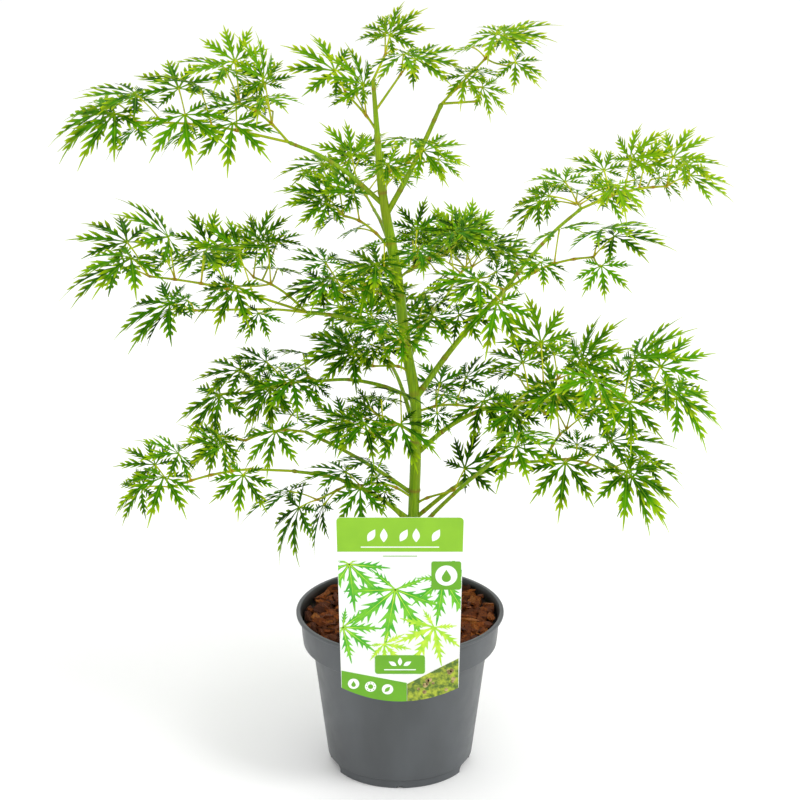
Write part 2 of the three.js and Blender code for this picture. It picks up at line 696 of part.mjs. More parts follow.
sprayTable.forEach((row, i) => {
  const [name, root] = row;
  const solid = spraySolid(stems[i], growLeaves(row, stems[i]));
  addPiece(name, cutClear(solid, root, stems[i]), finishes.leaf);
});

export default plant;
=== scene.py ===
from collections import namedtuple
from itertools import product
from math import atan2, cos, hypot, pi, radians, sin

import bmesh
import bpy
import numpy as np
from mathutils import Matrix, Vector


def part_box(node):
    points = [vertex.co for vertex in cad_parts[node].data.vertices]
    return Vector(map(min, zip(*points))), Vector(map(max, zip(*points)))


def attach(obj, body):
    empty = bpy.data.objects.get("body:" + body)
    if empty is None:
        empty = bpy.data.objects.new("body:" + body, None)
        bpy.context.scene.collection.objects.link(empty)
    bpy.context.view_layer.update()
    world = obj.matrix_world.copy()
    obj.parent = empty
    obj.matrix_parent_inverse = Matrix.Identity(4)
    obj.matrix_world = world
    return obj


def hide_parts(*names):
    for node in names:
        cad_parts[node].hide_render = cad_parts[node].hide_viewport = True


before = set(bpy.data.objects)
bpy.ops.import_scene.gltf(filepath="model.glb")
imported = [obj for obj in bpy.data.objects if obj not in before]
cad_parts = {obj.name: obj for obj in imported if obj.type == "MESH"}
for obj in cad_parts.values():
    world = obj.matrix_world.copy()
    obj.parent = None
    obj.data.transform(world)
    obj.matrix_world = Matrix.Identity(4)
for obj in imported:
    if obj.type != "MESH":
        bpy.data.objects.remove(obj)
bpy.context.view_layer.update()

mm = 0.001

# Pot
pot_height = 150.0
rim_radius = 95.0
lip_height = 3.2
lip_depth = 2.2
collar_top_radius = 91.4
collar_foot_radius = 88.8
collar_foot = 119.0
collar_flare = 0.7
collar_flare_height = 7.0
neck_depth = 0.3
neck_start = 1.2
neck_end = 0.4
wall_top_radius = 80.6
wall_foot_radius = 67.0
foot_ring_height = 8.5
foot_ring_radius = 64.8
hollow_radius = 57.8
hollow_height = 0.6
pot_wall = 1.8
pot_floor = 3.0
pot_turns = 160
crease_angle = 32

# Rounded edges of the moulding
crisp_edge = 0.8
small_edge = 1.0
soft_edge = 1.2

# Drain arches round the foot, the front one only a nick
drain_arches = 5
drain_width = 31.0
drain_height = 6.5
drain_depth = 9.0
drain_shoulder = 0.45
drain_round = 0.35
cut_below = 3.0
nick_width = 5.0
nick_height = 2.2

# Potting mix and the bark chips on it
soil_top = 141.0
soil_sinks = 0.5
soil_heap = 1.5
mix_radius = collar_top_radius - pot_wall
bed_gap = 1.6
bed_rings = 16
bed_turns = 72
bed_middle = 8.0
chip_count = 760
chip_length = (12.0, 29.0)
chip_width = (4.0, 9.0)
chip_thickness = (1.6, 3.6)
chip_sections = (-1, -0.35, 0.4, 1)
chip_pinch = 0.55
chip_jitter = (0.75, 1.25)
chip_lift = 4.0
chip_tilt = 56
chip_roll = 2.0
chip_inset = 2.0
chip_gap = 0.8

# Beside the pot's wall the chips are shorter and lie along it
wall_band = 14.0
wall_chip_length = 0.6
wall_chip_turn = 0.8

# Label card, its tongue and the printing on it
card_top_width = 110.0
card_foot_width = 103.6
card_top = 279.6
card_shoulder = 117.5
card_foot = 104.0
card_thickness = 0.9
card_corner = 4.0
card_corner_steps = 8
card_foot_steps = 24
card_gap = 0.8
card_front = -rim_radius - card_gap - card_thickness
tongue_width = 22.0
tongue_inset = 13.0
tongue_foot = 124.0
tongue_overlap = 0.1
rim_gap = 0.3
ink_thickness = 0.04
ink_sinks = 0.02

# Trunk: places on its centre line as (height, lean to the right, lean to the back, diameter)
trunk_line = [
    (139, 7.9, 0, 18),
    (148, 8.4, 0, 12.6),
    (162, 9.2, 0, 10.8),
    (240, 12, 0, 10.4),
    (300, 14, 2, 10.4),
    (350, 13.8, 4, 10.2),
    (401, 5.4, 6, 10),
    (468, -3, 8, 9.8),
    (519, -12, 10, 8.6),
    (553, -16.8, 11, 7.2),
    (593, -19.7, 12, 5.2),
    (639, -23, 12, 3.4),
]

# Boughs: name, root, azimuth, reach and rise from root to tip, bow of the middle above the straight line,
# root diameter, tip diameter. The root is a height on the trunk, or the bough that it forks from.
bough_table = [
    ("bough_left_top", 528, 172, 84, 54, 8, 5.4, 3.6),
    ("bough_right_leader", 520, 4, 48, 98, -4, 6.2, 4.2),
    ("bough_right_upper", 352, -2, 78, 102, 6, 7, 4.6),
    ("bough_right_upper_back", "bough_right_upper", 24, 74, 66, 6, 4, 3.4),
    ("bough_right_middle", 300, -11, 88, 54, 12, 5.8, 3.8),
    ("bough_right_low", 238, -6, 118, 62, 16, 5, 3.4),
    ("bough_right_low_front", 222, -38, 88, 92, 4, 5, 3.4),
    ("bough_left_middle", 400, 187, 88, 36, 8, 5.4, 3.6),
    ("bough_left_lower", 352, 163, 92, 8, 8, 4.8, 3.4),
    ("bough_left_rising", 262, 176, 98, 58, 4, 5, 3.4),
    ("bough_left_low", 236, 197, 112, 62, 12, 5, 3.4),
    ("bough_front_left_low", 230, 200, 62, 50, 8, 4.4, 3.2),
    ("bough_back_low", 318, 106, 84, 42, 8, 5, 3.4),
    ("bough_back_middle", 388, 66, 84, 34, 8, 5, 3.4),
    ("bough_back_upper", 476, 108, 62, 34, 6, 4.6, 3.2),
]
bough_steps = 3
knuckle_start = 5.0
knuckle_peak = 2.0
knuckle_swell = 1.3
knuckle_end = 0.9

# Sprays: name, root, azimuth, elevation, stem length, stem sag, joints, lift of the leaf stalks above the
# stem, leaf length, stalk length, and the leaf's green. The root is a height on the trunk, or the bough or
# trunk whose tip the stem starts from.
spray_table = [
    ("spray_left_top_outer", "bough_left_top", 174, 8, 134, 4, 4, 18, 58, 34, "mid"),
    ("spray_left_top_back", "bough_left_top", 156, 36, 58, 4, 2, 24, 50, 34, "fresh"),
    ("spray_left_high", 486, 168, 40, 58, 6, 2, 8, 46, 26, "mid"),
    ("spray_top", "trunk", 30, 60, 24, 0, 0, 6, 42, 22, "young"),
    ("spray_top_left", 594, 150, 46, 46, 2, 1, 16, 50, 28, "fresh"),
    ("spray_top_front", 612, 350, 56, 40, 0, 0, -2, 46, 26, "fresh"),
    ("spray_right_leader_tip", "bough_right_leader", 4, 46, 54, 0, 1, -8, 46, 34, "young"),
    ("spray_right_leader_side", "bough_right_leader", -20, 8, 32, 0, 0, 10, 40, 28, "fresh"),
    ("spray_right_high", 552, -30, 36, 34, 2, 1, 20, 40, 24, "fresh"),
    ("spray_right_upper_outer", "bough_right_upper_back", 10, 15, 80, 4, 4, 34, 44, 26, "young"),
    ("spray_right_upper_back", "bough_right_upper_back", 92, -8, 44, 2, 2, 22, 46, 30, "fresh"),
    ("spray_right_upper_front", "bough_right_upper", -12, 28, 88, 6, 3, 28, 52, 32, "mid"),
    ("spray_right_upper_near", "bough_right_upper", -96, 6, 34, 4, 1, 26, 48, 28, "mid"),
    ("spray_right_inner", 462, 10, 30, 50, 4, 2, 24, 42, 28, "deep"),
    ("spray_right_middle_outer", "bough_right_middle", -10, 6, 116, 4, 4, 34, 58, 36, "mid"),
    ("spray_right_middle_back", "bough_right_middle", 38, 18, 54, 4, 2, 20, 50, 32, "fresh"),
    ("spray_right_middle_front", "bough_right_middle", -54, 10, 46, 4, 2, 20, 50, 30, "deep"),
    ("spray_right_centre", 340, -4, 10, 54, 4, 2, 20, 46, 26, "deep"),
    ("spray_right_near", 414, -26, 18, 42, 4, 1, 18, 46, 28, "deep"),
    ("spray_right_low_outer", "bough_right_low", -16, 0, 56, 4, 2, 8, 54, 30, "mid"),
    ("spray_right_low_back", "bough_right_low", 66, 16, 56, 4, 2, 16, 52, 32, "mid"),
    ("spray_right_low_front", "bough_right_low_front", -40, 30, 26, 2, 1, 20, 50, 28, "mid"),
    ("spray_right_foot", 252, -24, 30, 46, 2, 1, 8, 44, 24, "deep"),
    ("spray_left_middle_outer", "bough_left_middle", 183, 16, 142, 4, 4, 36, 58, 36, "mid"),
    ("spray_left_middle_back", "bough_left_middle", 142, 22, 66, 4, 2, 34, 50, 34, "mid"),
    ("spray_left_middle_front", "bough_left_middle", 199, 8, 102, 2, 1, 6, 58, 24, "deep"),
    ("spray_left_centre", 440, 196, 22, 56, 6, 2, 26, 44, 28, "deep"),
    ("spray_left_near", 376, 208, 24, 42, 4, 1, 16, 48, 28, "deep"),
    ("spray_left_foot", 258, 208, 28, 62, 6, 2, 10, 46, 24, "deep"),
    ("spray_left_lower_outer", "bough_left_lower", 168, -12, 72, 2, 2, 14, 48, 28, "mid"),
    ("spray_left_lower_front", "bough_left_lower", 222, 12, 34, 4, 1, 24, 44, 28, "deep"),
    ("spray_left_rising", "bough_left_rising", 182, -4, 54, 4, 2, 18, 48, 28, "mid"),
    ("spray_left_low_outer", "bough_left_low", 193, 0, 108, 6, 4, 30, 46, 28, "mid"),
    ("spray_front_left_low", "bough_front_left_low", 218, -10, 34, 0, 1, 4, 62, 26, "deep"),
    ("spray_back_low", "bough_back_low", 104, 8, 84, 6, 3, 24, 52, 34, "mid"),
    ("spray_back_middle", "bough_back_middle", 72, 8, 84, 6, 3, 24, 52, 34, "mid"),
    ("spray_back_upper", "bough_back_upper", 112, 14, 60, 4, 2, 20, 48, 32, "fresh"),
    ("spray_front_low", 318, 232, 24, 66, 8, 3, 20, 48, 28, "deep"),
    ("spray_front_middle", 404, 268, 22, 58, 8, 2, 16, 46, 28, "deep"),
    ("spray_front_upper", 462, 250, 26, 56, 6, 2, 20, 44, 26, "mid"),
]
Spray = namedtuple("Spray", "name root azimuth elevation length sag joints lift leaf stalk green")
sprays = [Spray(*row) for row in spray_table]
stem_root = 3.4
stem_tip = 2.6
first_joint = 0.34

# How the leaf stalks stand at a joint: level pairs spread sideways, upright pairs one up and one low
level_spread = 58
upright_spread = 22
upright_lift = 30
low_drop = 14
end_lift = 0.4
short_stalk = 0.8
low_leaf = 0.85
inner_leaf = 0.86
stalk_diameter = 1.2
spread_varies = 12
size_varies = 0.14
turns_tried = [(0, 0), (14, 6), (-14, 6), (0, 18), (0, -16), (28, 10), (-28, 10), (42, 0), (-42, 0)]

# Leaf: seven lobes from the stalk's end as (angle, length, waist), the middle one the longest
lobes = [
    (-122, 0.5, 0),
    (-78, 0.78, 0.085),
    (-38, 0.94, 0.1),
    (0, 1, 0.1),
    (38, 0.94, 0.1),
    (78, 0.78, 0.085),
    (122, 0.5, 0),
]
waist_place = 0.46
leaf_sag = 0.2
leaf_bend = 34
leaf_roll = 16
steepest_leaf = -62
lean_to_light = 20

# Room that leaves keep from each other and from wood, and the bounds of the crown
leaf_room = 2.8
wood_room = 2.2
crown_floor = 172
label_side = 58
label_front = -150
label_back = -89
label_top = 284

# The finer growth that fills a spray: side twigs with small leaves at their tips, then single leaves. How
# close they may come for each green, their share of the spray's own sizes, and the bearings and rises that
# are tried, each a little varied.
fine_room = {"deep": 2.5, "mid": 6.0, "fresh": 6.0, "young": 6.0}
twig_bearings = (-64, 64)
twig_rises = (26, 4)
twig_share = (0.6, 0.95)
twig_rise_varies = (-8, 8)
twig_root = 1.9
twig_tip = 1.5
twig_bend = 0.4
twig_sag = 1.2
twig_leaf_turns = (0, -56, 56)
twig_leaf_rise = (0, 30)
twig_leaf_stalk = 0.4
fine_leaf = (0.52, 0.8)
fine_stalk = (0.55, 1.0)
fine_varies = (-12, 12)
crowded_bearings = (-140, -95, -50, 0, 50, 95, 140)
open_bearings = (-100, -35, 35, 100)
fine_rises = (44, 14)
box_slack = 2.0


def unit(v):
    return v / np.linalg.norm(v)


def heading(azimuth, elevation):
    level = cos(radians(elevation))
    turn = radians(azimuth)
    return np.array([level * cos(turn), level * sin(turn), sin(radians(elevation))])


def seeded_draws(name):
    """Numbers between 0 and 1, the same every time for one name."""
    state = 0
    for letter in name:
        state = (state * 31 + ord(letter)) & 0xFFFFFFFF
    while True:
        state = (state * 1664525 + 1013904223) & 0xFFFFFFFF
        yield state / 4294967296


def between(draw, bounds):
    return bounds[0] + (bounds[1] - bounds[0]) * next(draw)


# Growth of the wood: each limb is a line of points with its radii

Limb = namedtuple("Limb", "points radii")
trunk = Limb([np.array([x, y, z], float) for z, x, y, _ in trunk_line], [row[3] / 2 for row in trunk_line])
limbs = {"trunk": trunk}


def trunk_at(height):
    above = max(next(i for i, p in enumerate(trunk.points) if p[2] >= height), 1)
    low, high = trunk.points[above - 1], trunk.points[above]
    return low + (high - low) * (height - low[2]) / (high[2] - low[2])


def place_of(root):
    return limbs[root].points[-1].copy() if isinstance(root, str) else trunk_at(root)


def bough_limb(root, azimuth, reach, rise, bow, root_diameter, tip_diameter):
    """A shallow bow between its root and its tip, with a knuckle at the tip."""
    start = place_of(root)
    end = start + heading(azimuth, 0) * reach + np.array([0, 0, rise])
    points, radii = [], []
    for i in range(bough_steps + 1):
        share = i / bough_steps
        points.append(start + (end - start) * share + np.array([0, 0, bow * sin(pi * share)]))
        radii.append((root_diameter + (tip_diameter - root_diameter) * share) / 2)
    tip, tip_radius = points.pop(), radii.pop()
    along = unit(tip - points[-1])
    points += [tip - along * knuckle_start, tip - along * knuckle_peak, tip]
    radii += [tip_radius, tip_radius * knuckle_swell, tip_radius * knuckle_end]
    return Limb(points, radii)


def spray_stem(spray):
    """From its root along its heading, sagging to its tip."""
    start = place_of(spray.root)
    along = heading(spray.azimuth, spray.elevation)
    points, radii = [start], [stem_root / 2]
    for i in range(spray.joints + 1):
        share = 1 if i == spray.joints else first_joint + (1 - first_joint) * i / spray.joints
        sag = spray.sag * (sin(pi * share) - share * share)
        points.append(start + along * share * spray.length + np.array([0, 0, sag]))
        grown = (i + 1) / (spray.joints + 1)
        radii.append((stem_root + (stem_tip - stem_root) * grown) / 2)
    return Limb(points, radii)


# What stands so far: groups of straight stretches, each with a middle and a size for a quick first test

standing = {"middle": [], "size": [], "thick": [], "leaf": [], "owner": [], "stretches": []}
parallel = 1e-9


def stand(is_leaf, owner, stretches, thick):
    ends = stretches.reshape(-1, 3)
    middle = (ends.min(0) + ends.max(0)) / 2
    standing["middle"].append(middle)
    standing["size"].append(np.linalg.norm(ends - middle, axis=1).max())
    standing["thick"].append(thick)
    standing["leaf"].append(is_leaf)
    standing["owner"].append(owner)
    standing["stretches"].append(stretches)


def stand_limb(owner, limb):
    for i in range(len(limb.points) - 1):
        stand(False, owner, np.array([[limb.points[i], limb.points[i + 1]]]), limb.radii[i])


def gaps(a, b):
    """The shortest distances between stretches a and stretches b, as a table."""
    u = (a[:, 1] - a[:, 0])[:, None]
    v = (b[:, 1] - b[:, 0])[None]
    w = a[:, 0][:, None] - b[:, 0][None]
    uu, vv, uv = (u * u).sum(-1), (v * v).sum(-1), (u * v).sum(-1)
    uw, vw = (u * w).sum(-1), (v * w).sum(-1)
    area = uu * vv - uv * uv
    s = np.where(area > parallel, np.clip((uv * vw - vv * uw) / np.maximum(area, parallel), 0, 1), 0)
    t = np.clip((uv * s + vw) / vv, 0, 1)
    s = np.clip((uv * t - uw) / uu, 0, 1)
    return np.linalg.norm(w + s[..., None] * u - t[..., None] * v, axis=-1)


Leaf = namedtuple("Leaf", "root hub forward side normal length")


def leaf_places(leaf, angle, distance, aside):
    """Places in the leaf's own plane, sagging towards the tips. The last three may be arrays."""
    turn = np.radians(angle)
    x = np.cos(turn) * distance - np.sin(turn) * aside
    y = np.sin(turn) * distance + np.cos(turn) * aside
    sag = leaf_sag * distance * distance / leaf.length
    return leaf.hub + np.outer(x, leaf.forward) + np.outer(y, leaf.side) - np.outer(sag, leaf.normal)


def make_leaf(root, azimuth, lift, stalk, length, roll):
    """A leaf at its stalk's end, bent down from the stalk, rolled, and leaned to the light at the front."""
    hub = root + heading(azimuth, lift) * stalk
    forward = heading(azimuth, max(lift - leaf_bend, steepest_leaf))
    level = heading(azimuth + 90, 0)
    rolled = radians(roll)
    side = level * cos(rolled) + np.cross(forward, level) * sin(rolled)
    lean = radians(lean_to_light)
    tip_over = np.array([[1, 0, 0], [0, cos(lean), -sin(lean)], [0, sin(lean), cos(lean)]])
    forward, side = tip_over @ forward, tip_over @ side
    return Leaf(root, hub, forward, side, np.cross(forward, side), length)


def leaf_ribs(leaf):
    """The ribs and edges of a leaf's lobes, as straight stretches."""
    stretches = []
    for angle, length, waist in lobes:
        reach = length * leaf.length
        tip = leaf_places(leaf, angle, reach, 0)[0]
        stretches.append((leaf.hub, tip))
        for hand in (1, -1) if waist else ():
            edge = leaf_places(leaf, angle, waist_place * reach, hand * waist * leaf.length)[0]
            stretches += [(leaf.hub, edge), (edge, tip)]
    return np.array(stretches)


def in_keep_out(ribs):
    """Whether a leaf or twig hangs below the crown or in the label's space."""
    low = (ribs[:, :, 2] < crown_floor).any()
    ends = ribs[:, 1]
    beside = (np.abs(ends[:, 0]) > label_side) | (ends[:, 2] > label_top)
    before = (ends[:, 1] > label_front) & (ends[:, 1] < label_back)
    return low or (~beside & before).any()


def touches(part, near, room):
    """Whether a part comes closer than its room to any of the things near it."""
    if not len(near):
        return False
    others = np.concatenate([standing["stretches"][i] for i in near])
    rooms = np.concatenate([np.full(len(standing["stretches"][i]), room[i]) for i in near])
    return (gaps(part, others) < rooms).any()


def has_room(leaf, ribs, owner, between_leaves, from_wood):
    """Whether a leaf on its stalk stands clear of all wood and of every other stalk and leaf."""
    middle = np.array(standing["middle"])
    thick = np.array(standing["thick"])
    is_leaf = np.array(standing["leaf"])
    reach = np.array(standing["size"]) + between_leaves + thick
    leaf_near = np.linalg.norm(middle - leaf.hub, axis=1) < leaf.length + reach
    room = thick + np.where(is_leaf, between_leaves, from_wood)
    if touches(ribs, np.nonzero(leaf_near)[0], room):
        return False
    own = (np.array(standing["owner"]) == owner) & ~is_leaf
    stalk_length = np.linalg.norm(leaf.hub - leaf.root)
    stalk_near = np.linalg.norm(middle - leaf.root, axis=1) < stalk_length + reach
    stalk = np.array([[leaf.root, leaf.hub]])
    return not touches(stalk, np.nonzero(stalk_near & ~own)[0], thick + from_wood)


def keep(leaf, ribs, owner, leaves):
    """Adds a leaf to its spray, and it and its stalk to what stands."""
    stand(True, owner, ribs, 0)
    stand(False, owner, np.array([[leaf.root, leaf.hub]]), stalk_diameter / 2)
    leaves.append(leaf)


def grow_leaves(spray, stem):
    """One leaf at the stem's tip, and pairs at its joints, by turns level and upright."""
    draw = seeded_draws(spray.name)
    leaves = []

    def vary(by):
        return by * (2 * next(draw) - 1)

    def place(root, bearing, rise, stalk, length):
        turned = bearing + vary(spread_varies)
        lifted = rise + vary(spread_varies)
        long = length * (1 + vary(size_varies))
        reach = stalk * (1 + vary(size_varies))
        roll = vary(leaf_roll)
        for turn, lift in turns_tried:
            leaf = make_leaf(root, turned + turn, lifted + lift, reach, long, roll)
            ribs = leaf_ribs(leaf)
            if not in_keep_out(ribs) and has_room(leaf, ribs, spray.name, leaf_room, wood_room):
                keep(leaf, ribs, spray.name, leaves)
                return

    rise = spray.elevation + spray.lift
    end_rise = spray.elevation + spray.lift * end_lift
    for i in range(spray.joints, -1, -1):
        root = stem.points[i + 1]
        grown = (i + 1) / (spray.joints + 1)
        length = spray.leaf * (inner_leaf + (1 - inner_leaf) * grown)
        if i == spray.joints:
            place(root, spray.azimuth, end_rise, spray.stalk * short_stalk, spray.leaf)
        if (spray.joints - i) % 2 == 0:
            for hand in (-1, 1):
                place(root, spray.azimuth + hand * level_spread, rise, spray.stalk, length)
        else:
            place(root, spray.azimuth + upright_spread, rise + upright_lift, spray.stalk, length)
            low_stalk = spray.stalk * short_stalk
            place(root, spray.azimuth - upright_spread, rise - low_drop, low_stalk, length * low_leaf)
    return leaves


def inside_box(points, low, high):
    return (points > low - box_slack).all() and (points < high + box_slack).all()


def grow_finer(spray, stem):
    """Side twigs and small leaves from the joints and between them, where the spray's space has room."""
    draw = seeded_draws("finer_" + spray.name)
    low, high = (np.array(corner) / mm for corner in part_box(spray.name))
    room = fine_room[spray.green]
    twigs, leaves = [], []

    def try_leaf(root, bearing, rise, stalk):
        length = spray.leaf * between(draw, fine_leaf)
        roll = leaf_roll * between(draw, (-1, 1))
        leaf = make_leaf(root, bearing, rise, stalk, length, roll)
        ribs = leaf_ribs(leaf)
        if not inside_box(ribs, low, high) or in_keep_out(ribs):
            return
        if has_room(leaf, ribs, spray.name, room, room):
            keep(leaf, ribs, spray.name, leaves)

    def try_twig(root, bearing, rise):
        tip = root + heading(bearing, rise) * spray.stalk * between(draw, twig_share)
        middle = (root * (1 - twig_bend) + tip * twig_bend) - np.array([0, 0, twig_sag])
        stretches = np.array([[middle, tip]])
        if not inside_box(stretches, low, high) or in_keep_out(stretches):
            return
        if touches(stretches, range(len(standing["middle"])), np.array(standing["thick"]) + room):
            return
        grown = len(leaves)
        for turn in twig_leaf_turns:
            stalk = spray.stalk * twig_leaf_stalk * between(draw, fine_stalk)
            try_leaf(tip, bearing + turn, rise + between(draw, twig_leaf_rise), stalk)
        if len(leaves) == grown:
            return
        twig = Limb([root, middle, tip], [twig_root / 2, (twig_root + twig_tip) / 4, twig_tip / 2])
        stand_limb(spray.name, twig)
        twigs.append(twig)

    roots = []
    for i in range(len(stem.points) - 1):
        roots.append(stem.points[i + 1])
        roots.append((stem.points[i] + stem.points[i + 1]) / 2)
    for root, rise, bearing in product(roots, twig_rises, twig_bearings):
        turned = spray.azimuth + bearing + between(draw, fine_varies)
        try_twig(root, turned, rise + between(draw, twig_rise_varies))
    bearings = crowded_bearings if spray.green == "deep" else open_bearings
    for root, rise, bearing in product(roots, fine_rises, bearings):
        stalk = spray.stalk * between(draw, fine_stalk)
        turned = spray.azimuth + bearing + between(draw, fine_varies)
        try_leaf(root, turned, rise + between(draw, fine_varies), stalk)
    return twigs, leaves


# Shapes: points and faces of many small shapes are gathered, each point with its place, for one piece

class Gathered:
    def __init__(self):
        self.points, self.faces, self.places, self.count = [], [], [], 0

    def add(self, points, faces, places):
        self.points.append(points)
        self.faces += (np.asarray(faces) + self.count).tolist()
        self.places.append(np.broadcast_to(places, (len(points), 3)))
        self.count += len(points)


def mesh_of(name, points, faces):
    """A mesh from points in millimetres."""
    mesh = bpy.data.meshes.new(name)
    mesh.from_pydata((np.array(points, float) * mm).tolist(), [], faces)
    return mesh


def piece_from(name, shape, material, nodes=(), smooth=True):
    """One piece that rides on the plant, from gathered points and faces."""
    mesh = mesh_of(name, np.concatenate(shape.points), shape.faces)
    place = mesh.attributes.new("place", "FLOAT_VECTOR", "POINT")
    place.data.foreach_set("vector", np.concatenate(shape.places).astype(np.float32).ravel())
    if smooth:
        mesh.shade_smooth()
    settle(name, mesh, material, nodes)


def linked(name, data):
    """A new object in the scene."""
    thing = bpy.data.objects.new(name, data)
    bpy.context.scene.collection.objects.link(thing)
    return thing


def settle(name, mesh, material, nodes=()):
    """Puts a mesh in the scene as a piece of the plant."""
    piece = linked(name, mesh)
    mesh.materials.append(material)
    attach(piece, "root")
    if nodes:
        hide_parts(*nodes)
    return piece


def plates_mesh(name, plates):
    """Plates joined in one mesh, faces out."""
    shape = bmesh.new()
    for points, faces in plates:
        corners = [shape.verts.new([c * mm for c in p]) for p in points]
        for face in faces:
            shape.faces.new([corners[i] for i in face])
    bmesh.ops.recalc_face_normals(shape, faces=shape.faces)
    mesh = bpy.data.meshes.new(name)
    shape.to_mesh(mesh)
    shape.free()
    return mesh


def slab(outline, front, thickness):
    """A flat plate that stands upright: its outline seen from the front, and where its front face is."""
    count = len(outline)
    points = [(x, front, z) for x, z in outline] + [(x, front + thickness, z) for x, z in outline]
    faces = [tuple(range(count)), tuple(range(2 * count - 1, count - 1, -1))]
    faces += [(k, k + count, (k + 1) % count + count, (k + 1) % count) for k in range(count)]
    return points, faces


def revolved(profile, turns):
    """A profile of (radius, height) places that starts and ends on the axis, turned about it."""
    points = [(0, 0, profile[0][1])]
    for radius, z in profile[1:-1]:
        points += [(radius * cos(t), radius * sin(t), z) for t in 2 * pi * np.arange(turns) / turns]
    points.append((0, 0, profile[-1][1]))
    last = len(points) - 1 - turns
    faces = []
    for k in range(turns):
        n = (k + 1) % turns
        faces.append((0, 1 + n, 1 + k))
        faces += [(a + k, a + n, a + n + turns, a + k + turns) for a in range(1, last, turns)]
        faces.append((last + k, last + n, len(points) - 1))
    return points, faces


def smooth_line(limb, step):
    """The limb's line and radii on a smooth curve, with a point about every step."""
    points = np.array(limb.points)
    padded = np.vstack([2 * points[0] - points[1], points, 2 * points[-1] - points[-2]])
    line, radii = [], []
    for i in range(len(points) - 1):
        p0, p1, p2, p3 = padded[i:i + 4]
        count = max(int(np.linalg.norm(p2 - p1) / step), 1)
        for k in range(count):
            t = k / count
            bend = 2 * p0 - 5 * p1 + 4 * p2 - p3
            twist = 3 * p1 - p0 - 3 * p2 + p3
            line.append(0.5 * (2 * p1 + (p2 - p0) * t + bend * t * t + twist * t ** 3))
            radii.append(limb.radii[i] * (1 - t) + limb.radii[i + 1] * t)
    line.append(points[-1])
    radii.append(limb.radii[-1])
    return np.array(line), np.array(radii)


nearly_upright = 0.9


def swept(line, radii, sides, swell=None):
    """A closed tube along a line. The swell, one row for each ring, scales its radii."""
    count = len(line)
    ahead = np.gradient(line, axis=0)
    ahead /= np.linalg.norm(ahead, axis=1)[:, None]
    across = np.array([0.0, 0.0, 1.0]) if abs(ahead[0][2]) < nearly_upright else np.array([1.0, 0.0, 0.0])
    turns = 2 * pi * np.arange(sides) / sides
    rings = []
    for i in range(count):
        across = unit(across - ahead[i] * (across @ ahead[i]))
        other = np.cross(ahead[i], across)
        reach = radii[i] * (swell[i] if swell is not None else np.ones(sides))
        spokes = np.outer(np.cos(turns), across) + np.outer(np.sin(turns), other)
        rings.append(line[i] + spokes * reach[:, None])
    faces = []
    for i in range(count - 1):
        for k in range(sides):
            a, b = i * sides + k, i * sides + (k + 1) % sides
            faces += [(a, b, b + sides), (a, b + sides, a + sides)]
    last = (count - 1) * sides
    for k in range(1, sides - 1):
        faces += [(0, k + 1, k), (last, last + k, last + k + 1)]
    return np.vstack(rings), faces


def point_marks(first, second=0.0, third=0.0):
    """The three numbers that each point carries, from arrays or single values."""
    return np.column_stack(np.broadcast_arrays(first, second, third))


# Leaf blade: a lobe's stations along its rib as (place, half width, long tooth, short tooth). A tooth grows
# between its station and the next. Long and short ones change sides, as the cuts of a laceleaf do.
stations = [
    (0.00, 0.016, 0.00, 0.00),
    (0.13, 0.018, 0.00, 0.00),
    (0.22, 0.026, 0.19, 0.12),
    (0.33, 0.034, 0.00, 0.00),
    (0.38, 0.038, 0.27, 0.19),
    (0.49, 0.040, 0.00, 0.00),
    (0.54, 0.037, 0.23, 0.17),
    (0.645, 0.029, 0.00, 0.00),
    (0.69, 0.025, 0.13, 0.09),
    (0.77, 0.019, 0.00, 0.00),
    (0.88, 0.015, 0.00, 0.00),
    (1.00, 0.005, 0.00, 0.00),
]
toothed = [i for i, row in enumerate(stations) if row[2]]
tooth_lean = (33, 20)
tooth_belly = 0.5
lower_belly = (-0.006, 0.018)
upper_belly = (0.010, -0.002)
edge_rise = 0.3
width_follows_length = 0.5

# How lobes of one leaf differ: their length, turn, sideways bend and droop
lobe_shortest = 0.93
lobe_lengthens = 0.09
lobe_turns = 9
lobe_bends = 0.16
lobe_droops = 0.16

# Leaf stalk: thinnest in its middle, arched up
stalk_points = 6
stalk_arch = 0.05
stalk_waist = 0.7
stalk_flare = 0.3

# How far out from the rib a point counts, for its colour
on_rib, on_edge, on_tooth, on_tooth_tip = 0, 0.5, 0.75, 1


def tooth_length(station, hand):
    long, short = stations[station][2:]
    return long if (toothed.index(station) % 2 == 0) == (hand == 1) else short


